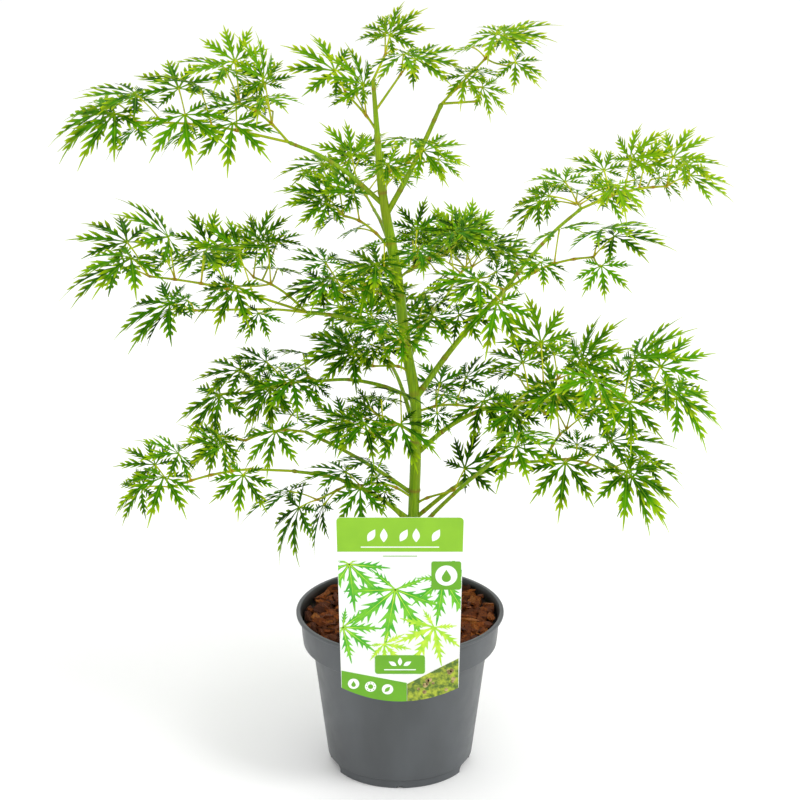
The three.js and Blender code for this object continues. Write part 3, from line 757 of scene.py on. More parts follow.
def lobe_pattern():
    """One lobe as rows of (along, aside, rise, way out from the rib) and its triangles, facing up."""
    rows, faces = [], []
    for place, half, _, _ in stations:
        rows.append((place, 0, 0, on_rib))
        rows.append((place, half, half * edge_rise, on_edge))
        rows.append((place, -half, half * edge_rise, on_edge))
    for i in range(len(stations) - 1):
        a, b = 3 * i, 3 * i + 3
        faces += [(a, b + 1, a + 1), (a, b, b + 1), (a, b + 2, b), (a, a + 2, b + 2)]
    for i in toothed:
        low = np.array(stations[i][:2])
        high = np.array(stations[i + 1][:2])
        lean = radians(tooth_lean[0] + (tooth_lean[1] - tooth_lean[0]) * stations[i][0])
        for hand in (1, -1):
            tip = (low + high) / 2 + tooth_length(i, hand) * np.array([cos(lean), sin(lean)])
            lower = low + (tip - low) * tooth_belly + np.array(lower_belly)
            upper = high + (tip - high) * tooth_belly + np.array(upper_belly)
            start = len(rows)
            for point, way_out in ((lower, on_tooth), (upper, on_tooth), (tip, on_tooth_tip)):
                rows.append((point[0], hand * point[1], point[1] * edge_rise, way_out))
            edge = 3 * i + (1 if hand == 1 else 2)
            teeth = [(edge, edge + 3, start), (start, edge + 3, start + 1), (start, start + 1, start + 2)]
            faces += teeth if hand == 1 else [t[::-1] for t in teeth]
    return np.array(rows), np.array(faces)


def leaf_pattern():
    """All lobes of one leaf: along, aside, rise, way out, lobe number and lobe angle, and the triangles."""
    rows, faces, count = [], [], 0
    lobe_rows, lobe_faces = lobe_pattern()
    for number, (angle, length, _) in enumerate(lobes):
        width = 1 - width_follows_length + width_follows_length * length
        marks = np.tile([number, angle], (len(lobe_rows), 1))
        rows.append(np.hstack([lobe_rows * [length, width, 1, 1], marks]))
        faces.append(lobe_faces + count)
        count += len(lobe_rows)
    return np.vstack(rows), np.vstack(faces)


def blade_points(leaf, pattern, draw):
    """The pattern laid on a leaf, each lobe a little longer or shorter, turned, bent and drooped."""
    along, aside, rise, _, number, angle = pattern.T
    chance = np.array([[next(draw) for _ in range(4)] for _ in lobes])[number.astype(int)]
    reach = along * leaf.length * (lobe_shortest + lobe_lengthens * chance[:, 0])
    turned = angle + lobe_turns * (chance[:, 1] - 0.5)
    bent = (aside + lobe_bends * (chance[:, 2] - 0.5) * along ** 2) * leaf.length
    places = leaf_places(leaf, turned, reach, bent)
    droop = lobe_droops * chance[:, 3] * along ** 3 - rise
    return places - np.outer(droop * leaf.length, leaf.normal)


def stalk_line(leaf):
    """A leaf stalk that leaves the stem low and arches over to the hub."""
    shares = np.linspace(0, 1, stalk_points)
    arch = stalk_arch * np.linalg.norm(leaf.hub - leaf.root) * np.sin(pi * shares)
    line = leaf.root + np.outer(shares, leaf.hub - leaf.root) + np.outer(arch, [0, 0, 1])
    return line, stalk_waist + stalk_flare * np.abs(2 * shares - 1) ** 3


# Materials

def linear(hex_colour):
    """A linear colour from an sRGB hex value."""
    parts = [int(hex_colour[i:i + 2], 16) / 255 for i in (1, 3, 5)]
    return [p / 12.92 if p <= 0.04045 else ((p + 0.055) / 1.055) ** 2.4 for p in parts] + [1.0]


def add(tree, kind, inputs, **settings):
    """Adds a node with its settings. An input is a value, or a socket that it is linked from."""
    node = tree.nodes.new(kind)
    for name, value in settings.items():
        setattr(node, name, value)
    for name, value in inputs.items():
        if isinstance(value, bpy.types.NodeSocket):
            tree.links.new(value, node.inputs[name])
        else:
            node.inputs[name].default_value = value
    return node


def surface(name, roughness, ior=1.5, specular=0.5):
    """A material with its shader. Returns it with its tree and shader."""
    material = bpy.data.materials.new(name)
    material.use_nodes = True
    tree = material.node_tree
    shader = tree.nodes["Principled BSDF"]
    shader.inputs["Roughness"].default_value = roughness
    shader.inputs["IOR"].default_value = ior
    shader.inputs["Specular IOR Level"].default_value = specular
    return material, tree, shader


def grain(tree, size_mm, stretch=(1, 1, 1), detail=3.0, roughness=0.55):
    """A noise whose blobs are about that many millimetres across, stretched along the axes."""
    place = add(tree, "ShaderNodeTexCoord", {})
    factors = {0: place.outputs["Object"], 1: stretch}
    scaled = add(tree, "ShaderNodeVectorMath", factors, operation="MULTIPLY").outputs[0]
    inputs = {"Vector": scaled, "Scale": 1 / (size_mm * mm), "Detail": detail, "Roughness": roughness}
    return add(tree, "ShaderNodeTexNoise", inputs).outputs["Fac"]


def ramp(tree, value, *stops):
    """Colours dealt out along a value, as (place, hex colour) stops."""
    node = add(tree, "ShaderNodeValToRGB", {"Fac": value})
    elements = node.color_ramp.elements
    while len(elements) < len(stops):
        elements.new(0.5)
    for element, (place, colour) in zip(elements, stops):
        element.position = place
        element.color = linear(colour)
    return node.outputs["Color"]


def span(tree, value, low, high, to_low=0.0, to_high=1.0):
    """What lies between low and high, dealt out from to_low to to_high and held at both ends."""
    inputs = {"Value": value, "From Min": low, "From Max": high, "To Min": to_low, "To Max": to_high}
    return add(tree, "ShaderNodeMapRange", inputs).outputs["Result"]


def blend(tree, share, first, second):
    node = add(tree, "ShaderNodeMix", {}, data_type="RGBA")
    for socket, value in ((node.inputs[0], share), (node.inputs[6], first), (node.inputs[7], second)):
        if isinstance(value, bpy.types.NodeSocket):
            tree.links.new(value, socket)
        else:
            socket.default_value = value
    return node.outputs[2]


def relief(tree, shader, height, depth_mm, strength):
    inputs = {"Height": height, "Distance": depth_mm * mm, "Strength": strength}
    bump = add(tree, "ShaderNodeBump", inputs)
    tree.links.new(bump.outputs["Normal"], shader.inputs["Normal"])


def marks_of(tree):
    """The three numbers that each point of a gathered piece carries."""
    place = add(tree, "ShaderNodeAttribute", {}, attribute_name="place")
    return add(tree, "ShaderNodeSeparateXYZ", {"Vector": place.outputs["Vector"]}).outputs


def living_leaf(name, shade, light, rib, edge):
    """Maple leaf, thin and softly waxy: blotchy greens, pale ribs, and cut edges and tips blended to a
    yellower, brighter green, partly their own colour and partly a painted highlight.
    """
    material, tree, shader = surface(name, 0.55, 1.4, specular=0.06)
    marks = marks_of(tree)
    blotch = span(tree, grain(tree, 22), 0.38, 0.62)
    chance = span(tree, marks["Z"], 0, 1, -0.45, 0.45)
    share = add(tree, "ShaderNodeMath", {0: blotch, 1: chance}, operation="ADD", use_clamp=True).outputs[0]
    blade = blend(tree, share, linear(shade), linear(light))
    veins = span(tree, grain(tree, 1.6, detail=2.0), 0.5, 0.62, 0, 0.35)
    blade = blend(tree, veins, blade, linear(light))
    ribbed = blend(tree, span(tree, marks["Y"], 0.0, 0.14, 0.45, 0.0), blade, linear(rib))
    # Edges and tooth tips: a yellower green of their own, brightened further as a painted highlight.
    edge_tint_and_highlight = blend(tree, span(tree, marks["Y"], 0.5, 1.0, 0.0, 0.9), ribbed, linear(edge))
    tip_tint_and_highlight = blend(tree, span(tree, marks["X"], 0.6, 1.0, 0.0, 0.9), edge_tint_and_highlight, linear(edge))
    hub = blend(tree, span(tree, marks["X"], 0.03, 0.2, 0.7, 0.0), tip_tint_and_highlight, linear(rib))
    tree.links.new(hub, shader.inputs["Base Color"])
    tree.links.new(span(tree, grain(tree, 9), 0.3, 0.7, 0.52, 0.7), shader.inputs["Roughness"])
    relief(tree, shader, grain(tree, 1.2, detail=2.0), 0.25, 0.35)
    return material


def green_shoot(name, skin, joint):
    """This year's shoot: smooth waxy skin, redder at the joints."""
    material, tree, shader = surface(name, 0.45, 1.45, specular=0.15)
    marks = marks_of(tree)
    mottle = blend(tree, span(tree, grain(tree, 7), 0.35, 0.65, 0, 0.5), linear(skin), linear("#c6c224"))
    tree.links.new(blend(tree, marks["X"], mottle, linear(joint)), shader.inputs["Base Color"])
    return material


def young_bark():
    """Young maple bark, smooth and green: fine lengthwise lines, rings at the joints and a brown foot."""
    material, tree, shader = surface("young_maple_bark", 0.42, 1.45, specular=0.25)
    marks = marks_of(tree)
    lines = grain(tree, 1.3, stretch=(1, 1, 0.05), detail=4.0)
    skin = ramp(tree, lines, (0.34, "#6a9307"), (0.5, "#7fa70a"), (0.68, "#98ba15"))
    cloud = span(tree, grain(tree, 24, stretch=(1, 1, 0.5)), 0.45, 0.7, 0, 0.4)
    skin = blend(tree, cloud, skin, linear("#9c9016"))
    ringed = blend(tree, marks["X"], skin, linear("#8a6a1e"))
    tree.links.new(blend(tree, marks["Y"], ringed, linear("#6a4a2a")), shader.inputs["Base Color"])
    relief(tree, shader, lines, 0.2, 0.3)
    return material


def moulded_plastic():
    """Grey polypropylene, injection moulded: satin, duller where grained, and blended to near black inside
    as painted shade.
    """
    material, tree, shader = surface("grey_polypropylene", 0.4, 1.49)
    cloud = span(tree, grain(tree, 40, stretch=(1, 1, 0.4)), 0.3, 0.7)
    skin = blend(tree, cloud, linear("#46494b"), linear("#505457"))
    # Painted shade: the pot's inside wall and floor are blended to a near black brown, where little light
    # reaches.
    stained = add(tree, "ShaderNodeAttribute", {}, attribute_name="stained").outputs["Fac"]
    tree.links.new(blend(tree, stained, skin, linear("#26221f")), shader.inputs["Base Color"])
    tree.links.new(span(tree, grain(tree, 14), 0.3, 0.7, 0.36, 0.47), shader.inputs["Roughness"])
    relief(tree, shader, grain(tree, 0.9, detail=2.0), 0.06, 0.3)
    return material


def bark_chips():
    """Pine bark, chipped and damp: rust brown, darker in its grain, each chip its own shade."""
    material, tree, shader = surface("pine_bark_chips", 0.8, 1.5, specular=0.25)
    marks = marks_of(tree)
    own = ramp(tree, marks["X"], (0.0, "#431d08"), (0.4, "#74380f"), (0.75, "#9a4f17"), (1.0, "#b46f2c"))
    fibres = grain(tree, 1.6, detail=5.0, roughness=0.7)
    shade = blend(tree, span(tree, fibres, 0.35, 0.65, 0.75, 0.0), own, linear("#2a1206"))
    tree.links.new(shade, shader.inputs["Base Color"])
    relief(tree, shader, fibres, 0.7, 0.8)
    return material


def dark_compost():
    """Composted bark under the chips: nearly black, crumbly."""
    material, tree, shader = surface("bark_compost", 0.92, 1.45)
    crumbs = grain(tree, 2.4, detail=6.0, roughness=0.7)
    tree.links.new(ramp(tree, crumbs, (0.3, "#140b06"), (0.7, "#3a2110")), shader.inputs["Base Color"])
    relief(tree, shader, crumbs, 1.6, 0.9)
    return material


def printed(name, colour, second, patch_mm=9):
    """Printed polypropylene card: even ink under a clear satin varnish, with a faint roller mottle."""
    material, tree, shader = surface(name, 0.34, 1.49)
    mottle = span(tree, grain(tree, patch_mm), 0.4, 0.62)
    tint = blend(tree, mottle, linear(colour), linear(second))
    tree.links.new(tint, shader.inputs["Base Color"])
    relief(tree, shader, grain(tree, 0.7, detail=1.0), 0.02, 0.2)
    return material


# Pot

def arc(x, z, radius, start, end, steps=5):
    """Profile points on a round edge."""
    turns = [radians(start + (end - start) * i / steps) for i in range(steps + 1)]
    return [(x + radius * cos(t), z + radius * sin(t)) for t in turns]


def pot_profile():
    """From the middle of the underside up the outside, over the rim and down the inside."""
    lip_foot = pot_height - lip_height
    ledge = collar_foot + pot_wall
    outside = [(0, hollow_height), (hollow_radius - small_edge, hollow_height), (hollow_radius, 0)]
    outside += arc(foot_ring_radius - small_edge, small_edge, small_edge, -90, 0)
    outside += [(foot_ring_radius, foot_ring_height)]
    outside += arc(wall_foot_radius - crisp_edge, foot_ring_height + soft_edge, crisp_edge, -60, 0)
    outside += [(wall_top_radius - neck_depth, collar_foot - neck_start)]
    outside += [(wall_top_radius, collar_foot - neck_end)]
    outside += arc(collar_foot_radius - soft_edge, collar_foot + soft_edge, soft_edge, -90, 0)
    outside += [(collar_foot_radius + collar_flare, collar_foot + collar_flare_height)]
    outside += [(collar_top_radius - neck_depth, lip_foot - small_edge)]
    outside += arc(rim_radius - small_edge, lip_foot + small_edge, small_edge, -90, 0)
    outside += arc(rim_radius - soft_edge, pot_height - soft_edge, soft_edge, 0, 90)
    inside = arc(rim_radius - lip_depth - crisp_edge, pot_height - crisp_edge, crisp_edge, 90, 180)
    inside += [(collar_top_radius - pot_wall, lip_foot - small_edge), (collar_foot_radius - pot_wall, ledge)]
    inside += [(wall_top_radius - pot_wall, ledge)]
    inside += [(wall_foot_radius - pot_wall, foot_ring_height + pot_wall)]
    inside += [(foot_ring_radius - pot_wall, pot_floor), (0, pot_floor)]
    return outside + inside


def drain_cutter():
    """Blocks with cut upper corners, which take the arches and the nick out of the foot."""
    blocks = []
    for i in range(drain_arches):
        width, height = (nick_width, nick_height) if i == 0 else (drain_width, drain_height)
        right = [(width / 2, height * drain_shoulder), (width / 2 - height * drain_round, height)]
        left = [(-x, z) for x, z in reversed(right)]
        outline = [(-width / 2, -cut_below), (width / 2, -cut_below)] + right + left
        points, faces = slab(outline, foot_ring_radius - drain_depth / 2, drain_depth)
        turn = radians(360 * i / drain_arches - 180)
        c, s = cos(turn), sin(turn)
        blocks.append(([(x * c - y * s, x * s + y * c, z) for x, y, z in points], faces))
    return linked("drain_cutter", plates_mesh("drain_cutter", blocks))


def make_pot(material):
    """The pot, its inside marked for painted shade, with the drains cut out."""
    profile = pot_profile()
    points, faces = revolved(profile, pot_turns)
    mesh = mesh_of("nursery_pot", points, faces)
    # Points inside the pot below the lip carry the painted shade.
    lip = max(i for i, row in enumerate(profile) if row[1] > pot_height - lip_height)
    stained = mesh.attributes.new("stained", "FLOAT", "POINT")
    stained.data.foreach_set("value", [float((i - 1) // pot_turns + 1 > lip) for i in range(len(points))])
    pot = settle("nursery_pot", mesh, material, ["pot"])
    cutter = drain_cutter()
    cut = pot.modifiers.new("drains", "BOOLEAN")
    cut.operation = "DIFFERENCE"
    cut.object = cutter
    freeze(pot)
    bpy.data.objects.remove(cutter)
    pot.data.shade_smooth()
    pot.data.set_sharp_from_angle(angle=radians(crease_angle))


def freeze(piece):
    """Applies a piece's modifiers to its mesh."""
    graph = bpy.context.evaluated_depsgraph_get()
    finished = bpy.data.meshes.new_from_object(piece.evaluated_get(graph))
    piece.modifiers.clear()
    piece.data = finished


# Potting mix

def soil_height(radius):
    """The mix is heaped a little towards the middle."""
    return soil_top - soil_sinks + soil_heap * (1 - (radius / collar_top_radius) ** 2)


def make_bed(material):
    """The mix from the pot's floor up, its top highest where the trunk stands."""
    radii = [(mix_radius - bed_gap) * i / bed_rings for i in range(bed_rings, 0, -1)]
    profile = [(0, pot_floor + 1)] + [(radius, soil_height(radius)) for radius in radii + [0]]
    points, faces = revolved(profile, bed_turns)
    points[-1] = (bed_middle, 0, soil_height(0))
    mesh = mesh_of("potting_bed", points, faces)
    mesh.shade_smooth()
    settle("potting_bed", mesh, material, ["potting_mix"])


def chip_points(draw, size, turns):
    """A splinter of bark: four rough oblong sections, pinched at its ends, turned about X, Y and Z."""
    corners = []
    for x in chip_sections:
        pinch = 1 - chip_pinch * x * x
        for y, z in ((-1, -1), (1, -1), (1, 1), (-1, 1)):
            jitter = [between(draw, chip_jitter) for _ in range(3)]
            corners.append((x * jitter[0], y * pinch * jitter[1], z * jitter[2]))
    points = np.array(corners) * np.array(size) / 2
    for axis, angle in enumerate(turns):
        c, s = cos(angle), sin(angle)
        i, j = (axis + 1) % 3, (axis + 2) % 3
        turned = points.copy()
        turned[:, i] = points[:, i] * c - points[:, j] * s
        turned[:, j] = points[:, i] * s + points[:, j] * c
        points = turned
    return points


def chip_faces():
    faces = [(0, 1, 2), (0, 2, 3), (12, 14, 13), (12, 15, 14)]
    for i in range(3):
        for k in range(4):
            a, b = 4 * i + k, 4 * i + (k + 1) % 4
            faces += [(a, a + 4, b + 4), (a, b + 4, b)]
    return faces


def make_chips(material):
    """Chips strewn evenly over the mix, all that keep clear of the pot's wall."""
    draw = seeded_draws("bark_chips")
    chips = Gathered()
    faces = chip_faces()
    edge = mix_radius - chip_inset
    for _ in range(chip_count):
        radius = edge * next(draw) ** 0.5
        angle = 2 * pi * next(draw)
        by_wall = radius > edge - wall_band
        long = between(draw, chip_length) * (wall_chip_length if by_wall else 1)
        lift = soil_height(radius) + chip_lift * next(draw)
        chance = next(draw)
        turn = angle + pi / 2 + wall_chip_turn * (chance - 0.5) if by_wall else 2 * pi * chance
        tilt = radians(chip_tilt * (next(draw) - 0.5))
        roll = chip_roll * (next(draw) - 0.5)
        wide = between(draw, chip_width)
        thick = between(draw, chip_thickness)
        shape = chip_points(draw, (long, wide, thick), (roll, tilt, turn))
        shape += np.array([radius * cos(angle), radius * sin(angle), lift])
        if np.hypot(shape[:, 0], shape[:, 1]).max() < mix_radius - chip_gap:
            chips.add(shape, faces, (next(draw), 0, 0))
    piece_from("bark_chip_mulch", chips, material, smooth=False)


# Label

# Layers of ink, each over the ones below
behind, paper, leaves_low, leaves_pale, leaves_ribs, panels, discs, signs = 0, 1, 2, 6, 8.4, 10, 11, 12
lobe_layer = 0.12

# Bands that follow the card's edges at its head and foot
header_foot = 247.7
band_inset = 0.05
band_steps = 14


def quadratic(start, pull, end, steps):
    """Points on a curve after its start, up to its end."""
    start, pull, end = np.array(start), np.array(pull), np.array(end)
    shares = [(i + 1) / steps for i in range(steps)]
    return [tuple((1 - t) ** 2 * start + 2 * t * (1 - t) * pull + t * t * end) for t in shares]


def card_outline():
    """From the foot's left end along its bow, up the right side, over the top and down the left."""
    top, foot = card_top_width / 2, card_foot_width / 2
    inner, under = top - card_corner, card_top - card_corner
    bow = (0, 2 * card_foot - card_shoulder)
    points = [(-foot, card_shoulder)]
    points += quadratic((-foot, card_shoulder), bow, (foot, card_shoulder), card_foot_steps)
    points.append((top, under))
    points += quadratic((top, under), (top, card_top), (inner, card_top), card_corner_steps)
    points.append((-inner, card_top))
    points += quadratic((-inner, card_top), (-top, card_top), (-top, under), card_corner_steps)
    return points


def card_edge(height):
    """Half the card's width at a height."""
    share = (height - card_shoulder) / (card_top - card_corner - card_shoulder)
    return card_foot_width / 2 + (card_top_width - card_foot_width) / 2 * min(max(share, 0), 1)


def card_bottom(x):
    """The height of the card's bowed foot at a place across it."""
    return card_shoulder - (card_shoulder - card_foot) * (1 - (x / (card_foot_width / 2)) ** 2)


def ink(outline, layer=paper):
    """A printed area, each layer just proud of the one below, or on the card's back."""
    if layer == behind:
        return slab(outline, card_front + card_thickness - ink_sinks, ink_thickness + ink_sinks)
    return slab(outline, card_front - layer * ink_thickness, layer * ink_thickness + ink_sinks)


def turned(outline, x, z, angle, size=1):
    """An outline scaled, turned to its heading and moved to its place."""
    c, s = cos(radians(angle)), sin(radians(angle))
    return [(x + size * (a * c - b * s), z + size * (a * s + b * c)) for a, b in outline]


def disc(x, z, radius, steps=28):
    return arc(x, z, radius, 0, 360, steps)[:-1]


def drop(x, z, size):
    """A water drop: a round foot and a pointed top."""
    return arc(x, z - 0.2 * size, 0.62 * size, -215, 35, 16) + [(x, z + size)]


def leaflet(x, z, length, width, angle):
    """A plain pointed oval, as on many plant labels, a little fuller towards its stalk."""
    outline = []
    for hand, steps in ((1, range(0, 9)), (-1, range(7, 0, -1))):
        for share in (i / 8 for i in steps):
            fullness = 1.15 - 0.3 * share
            outline.append((length * share, hand * width / 2 * sin(pi * share) * fullness))
    return turned(outline, x, z, angle)


def oblong(x0, x1, z0, z1):
    return [(x0, z0), (x1, z0), (x1, z1), (x0, z1)]


def rounded(x0, x1, z0, z1, corner):
    points = arc(x1 - corner, z1 - corner, corner, 0, 90, 4)
    points += arc(x0 + corner, z1 - corner, corner, 90, 180, 4)
    points += arc(x0 + corner, z0 + corner, corner, 180, 270, 4)
    return points + arc(x1 - corner, z0 + corner, corner, 270, 360, 4)


def header_band():
    """The card's outline above the header's foot."""
    outline = [(-card_edge(header_foot), header_foot), (card_edge(header_foot), header_foot)]
    return outline + card_outline()[card_foot_steps + 1:]


def foot_band(left, right, left_top, right_top):
    """A band that follows the card's bowed foot between two places across it."""
    places = [left + (right - left) * i / band_steps for i in range(band_steps + 1)]
    low = [(x, card_bottom(x) + band_inset) for x in places]
    high = [(x, left_top + (right_top - left_top) * (x - left) / (right - left)) for x in reversed(places)]
    return low + high


# The picture, and its leaves as (place across, height, length, heading) in the plant's own outline
picture_top = 239.8
picture_foot = 124.0
picture_margin = 0.4
picture_head_margin = 0.6
drawn_green = [(-4, 212, 58, -100), (38, 222, 48, -60), (-44, 236, 46, -84), (-50, 176, 38, -40)]
drawn_pale = [(30, 176, 40, -118), (-14, 160, 26, -50)]
drawn_girth = 1.4
drawn_tooth = 0.9
drawn_tooth_start = 0.05
drawn_tooth_ahead = 0.7
drawn_tooth_aside = 0.48
drawn_rib = 0.9
drawn_rib_reach = 0.82

# What else is printed, as (layer, outline, its numbers): leaflets and a rule on the header
header_print = [(leaves_low, leaflet, x, 257.404, 13, 6.4, 60) for x in (-28, 0, 28)]
header_print += [(leaves_low, leaflet, x, 256.6, 13, 6.4, 90) for x in (-14, 14)]
header_print += [(leaves_low, rounded, -34, 34, 251.6, 252.6, 0.4)]

# A badge, a plate, a rule under the header, a band along the foot, and the back's rules and panel
green_print = [
    (panels, rounded, 27.275, 53.075, 212, 238.6, 2),
    (panels, rounded, -22, 22, 131, 149, 2.5),
    (paper, rounded, -15, 15, 243.2, 244, 0.4),
    (panels, foot_band, -51.5, 6, 134, 122),
    (behind, rounded, -40, -14, 168, 190, 2.5),
]
green_print += [(behind, rounded, -40, 40, z, z + 1.4, 0.5) for z in (236, 228, 220, 212, 204)]

# Discs on the badge and the band, and three leaflets over a rule on the plate
white_print = [(discs, disc, 40.275, 225.4, 9.6)]
white_print += [(discs, disc, x, z, 5) for x, z in ((-41, 121.4), (-26, 118.6), (-11, 116))]
white_print += [(discs, leaflet, x, 139, 8, 3.8, angle) for x, angle in ((0, 90), (-3, 150), (3, 30))]
white_print += [(discs, rounded, -14, 14, 134.6, 135.6, 0.4)]

# On the discs two drops, a sun with its rays and a leaflet
sign_print = [
    (signs, drop, 40.275, 224.6, 6.5),
    (signs, drop, -41, 121, 3.2),
    (signs, disc, -26, 118.6, 2.3),
    (signs, leaflet, -13.5, 113.4, 7, 3.4, 46),
]
sign_print += [(signs, disc, x, z, 0.5, 8) for x, z in disc(-26, 118.6, 3.7, 8)]

# At the foot's right a bank of moss, with stones strewn over it
moss_start = 6.4
moss_print = [(panels, foot_band, moss_start, 51.5, 121, 146)]
stone_places = 26
stone_radius = (0.9, 2.4)


def printed_plates(rows):
    return [ink(outline(*numbers), layer) for layer, outline, *numbers in rows]


def drawn_leaf(x, z, length, angle):
    """The plant's own leaf drawn flat: one outline for each lobe."""
    outlines = []
    for lobe_angle, share, _ in lobes:
        edges = {1: [], -1: []}
        for i, hand in product(range(len(stations)), (1, -1)):
            place, half = stations[i][0], stations[i][1] * drawn_girth
            edges[hand].append((place, hand * half))
            if i in toothed:
                tooth = tooth_length(i, hand) * drawn_tooth
                ahead = place + drawn_tooth_start + tooth * drawn_tooth_ahead
                edges[hand].append((ahead, hand * (half + tooth * drawn_tooth_aside)))
        outlines.append(turned(edges[1] + edges[-1][::-1], x, z, angle + lobe_angle, length * share))
    return outlines


def cropped(outline):
    """The part of a drawing that lies on the picture area, cut along one side of it after another."""
    foot_edge = card_edge(picture_foot) - picture_margin
    slope = (card_edge(picture_top) - picture_margin - foot_edge) / (picture_top - picture_foot)
    reach = foot_edge - slope * picture_foot
    head = picture_top - picture_head_margin
    for across, up, limit in ((0, 1, head), (0, -1, -picture_foot), (1, -slope, reach), (-1, -slope, reach)):
        beyond = [across * x + up * z - limit for x, z in outline]
        kept = []
        for i, point in enumerate(outline):
            a, b = beyond[i - 1], beyond[i]
            if (a > 0) != (b > 0):
                share = a / (a - b)
                kept.append(tuple(p + (q - p) * share for p, q in zip(outline[i - 1], point)))
            if b <= 0:
                kept.append(point)
        outline = kept
    return outline


def printed_leaves(leaves, layer):
    """Drawn leaves as ink, every lobe a little higher than the last so that no two share a plane."""
    outlines = [cropped(outline) for leaf in leaves for outline in drawn_leaf(*leaf)]
    return [ink(outline, layer + lobe_layer * i) for i, outline in enumerate(outlines) if outline]


def printed_ribs(leaves, layer):
    """A thin pale rib down each drawn lobe."""
    outlines = []
    for x, z, length, angle in leaves:
        for lobe_angle, share, _ in lobes:
            line = [(0, drawn_rib / 2), (0, -drawn_rib / 2), (drawn_rib_reach * length * share, 0)]
            outlines.append(cropped(turned(line, x, z, angle + lobe_angle)))
    return [ink(outline, layer) for outline in outlines if outline]


def board_plates():
    """The card, the bridge over the rim and the leg that holds it from inside."""
    tongue = -rim_radius + tongue_inset
    half = tongue_width / 2
    bridge_foot = pot_height + rim_gap
    bridge = oblong(-half, half, bridge_foot, bridge_foot + card_thickness)
    leg = oblong(-half, half, tongue_foot, bridge_foot + tongue_overlap)
    return [
        slab(card_outline(), card_front, card_thickness),
        slab(bridge, card_front + card_thickness / 2, tongue - card_front + card_thickness / 2),
        slab(leg, tongue, card_thickness),
    ]


def stone_plates():
    """Stones inside the bank of moss, at every other place that is drawn."""
    draw = seeded_draws("moss_stones")
    plates = []
    for _ in range(stone_places):
        x = 14 + 34 * next(draw)
        low, high = card_bottom(x) + 2.5, 118 + 25 * (x - moss_start) / 45
        z = low + (high - low) * next(draw)
        plates.append(ink(disc(x, z, between(draw, stone_radius), 9), discs))
    return plates[::2]


def make_label():
    white = printed("white_card", "#f4f6f2", "#eef2ea")
    lime = printed("lime_ink", "#88c016", "#82ba13", 30)
    leaf_ink = printed("leaf_green_ink", "#3fa812", "#72c41c", 12)
    bright_ink = printed("yellow_green_ink", "#9ad41f", "#c3e53a", 8)
    deep_ink = printed("deep_green_ink", "#66a90a", "#5fa208", 24)
    moss = printed("moss_print", "#4d6b16", "#a9b82b", 5)
    stone = printed("warm_stone_print", "#6f5a2c", "#b9a56b", 4)
    settle("label_board", plates_mesh("label_board", board_plates()), white, ["label_card"])
    for name, finish, plates in (
        ("label_lime_header", lime, [ink(header_band()), ink(header_band(), behind)]),
        ("label_header_leaflets", white, printed_plates(header_print)),
        ("label_drawn_leaves", leaf_ink, printed_leaves(drawn_green, leaves_low)),
        ("label_pale_leaves", bright_ink, printed_leaves(drawn_pale, leaves_pale)),
        ("label_drawn_ribs", bright_ink, printed_ribs(drawn_green, leaves_ribs)),
        ("label_green_panels", deep_ink, printed_plates(green_print)),
        ("label_white_discs", white, printed_plates(white_print)),
        ("label_care_signs", deep_ink, printed_plates(sign_print)),
        ("label_moss_bank", moss, printed_plates(moss_print)),
        ("label_stones", stone, stone_plates()),
    ):
        settle(name, plates_mesh(name, plates), finish)


# Trunk and boughs

# How each is built and how its bark stands: sizes in mm, roughness and girth as shares of the radius
trunk_bark = {"step": 2.5, "sides": 20, "ring_spacing": 46, "roughness": 0.018, "girth": 0.97}
bough_bark = {"step": 2.5, "sides": 10, "ring_spacing": 34, "roughness": 0.025, "girth": 0.84}

# Joint rings, lengthwise ridges and the brown foot of the bark
ring_width = 2.2
ring_offset = 40
ring_swell = 0.13
ridge_counts = (3, 5, 8)
ridge_twist = 60
bark_grit = 0.6
brown_foot = 46
brown_fade = 1.2
trunk_sinks = 1.2
ring_blush = 0.8
foot_blush = 0.85


def ring_marks(line, spacing, start):
    """How near each point of a line is to a joint ring, from 0 to 1."""
    run = np.concatenate([[0], np.cumsum(np.linalg.norm(np.diff(line, axis=0), axis=1))]) + start
    return np.clip(1 - np.abs((run + spacing / 2) % spacing - spacing / 2) / ring_width, 0, 1)


def wood(limb, name, step, sides, ring_spacing, roughness, girth):
    """A limb with swollen joint rings and low lengthwise ridges, and how near each point is to a ring."""
    line, radii = smooth_line(limb, step)
    draw = seeded_draws(name)
    rings = ring_marks(line, ring_spacing, ring_offset * next(draw))
    turns = 2 * pi * np.arange(sides) / sides
    phases = [2 * pi * next(draw) for _ in ridge_counts]
    run = np.arange(len(line))[:, None] * step
    ridges = sum(np.sin(k * turns + phase + run / ridge_twist) for k, phase in zip(ridge_counts, phases))
    grit = np.array([[next(draw) - 0.5 for _ in range(sides)] for _ in line])
    swell = 1 + roughness * (ridges / len(ridge_counts) + bark_grit * grit) + ring_swell * rings[:, None]
    points, faces = swept(line, radii * girth, sides, swell)
    return points, faces, np.repeat(rings, sides)


def make_wood(material):
    trunk_shape, boughs = Gathered(), Gathered()
    points, faces, rings = wood(trunk, "trunk", **trunk_bark)
    foot = np.clip(1 - (points[:, 2] - soil_top) / brown_foot, 0, 1) ** brown_fade
    points[:, 2] = np.maximum(points[:, 2], soil_top - trunk_sinks)
    trunk_shape.add(points, faces, point_marks(ring_blush * rings, foot_blush * foot))
    piece_from("maple_trunk", trunk_shape, material, ["trunk"])
    for name, *_ in bough_table:
        points, faces, rings = wood(limbs[name], name, **bough_bark)
        boughs.add(points, faces, point_marks(rings))
    piece_from("maple_boughs", boughs, material, [row[0] for row in bough_table])


# Sprays

# How stems, side twigs and leaf stalks are built, and how they swell and redden at their joints
wood_step = 3.0
stem_sides = 7
twig_sides = 6
stalk_sides = 5
stem_girth = 0.72
joint_swell = 0.35
joint_reach = 4.0
twig_blush = 0.15
stalk_foot_points = 1.5


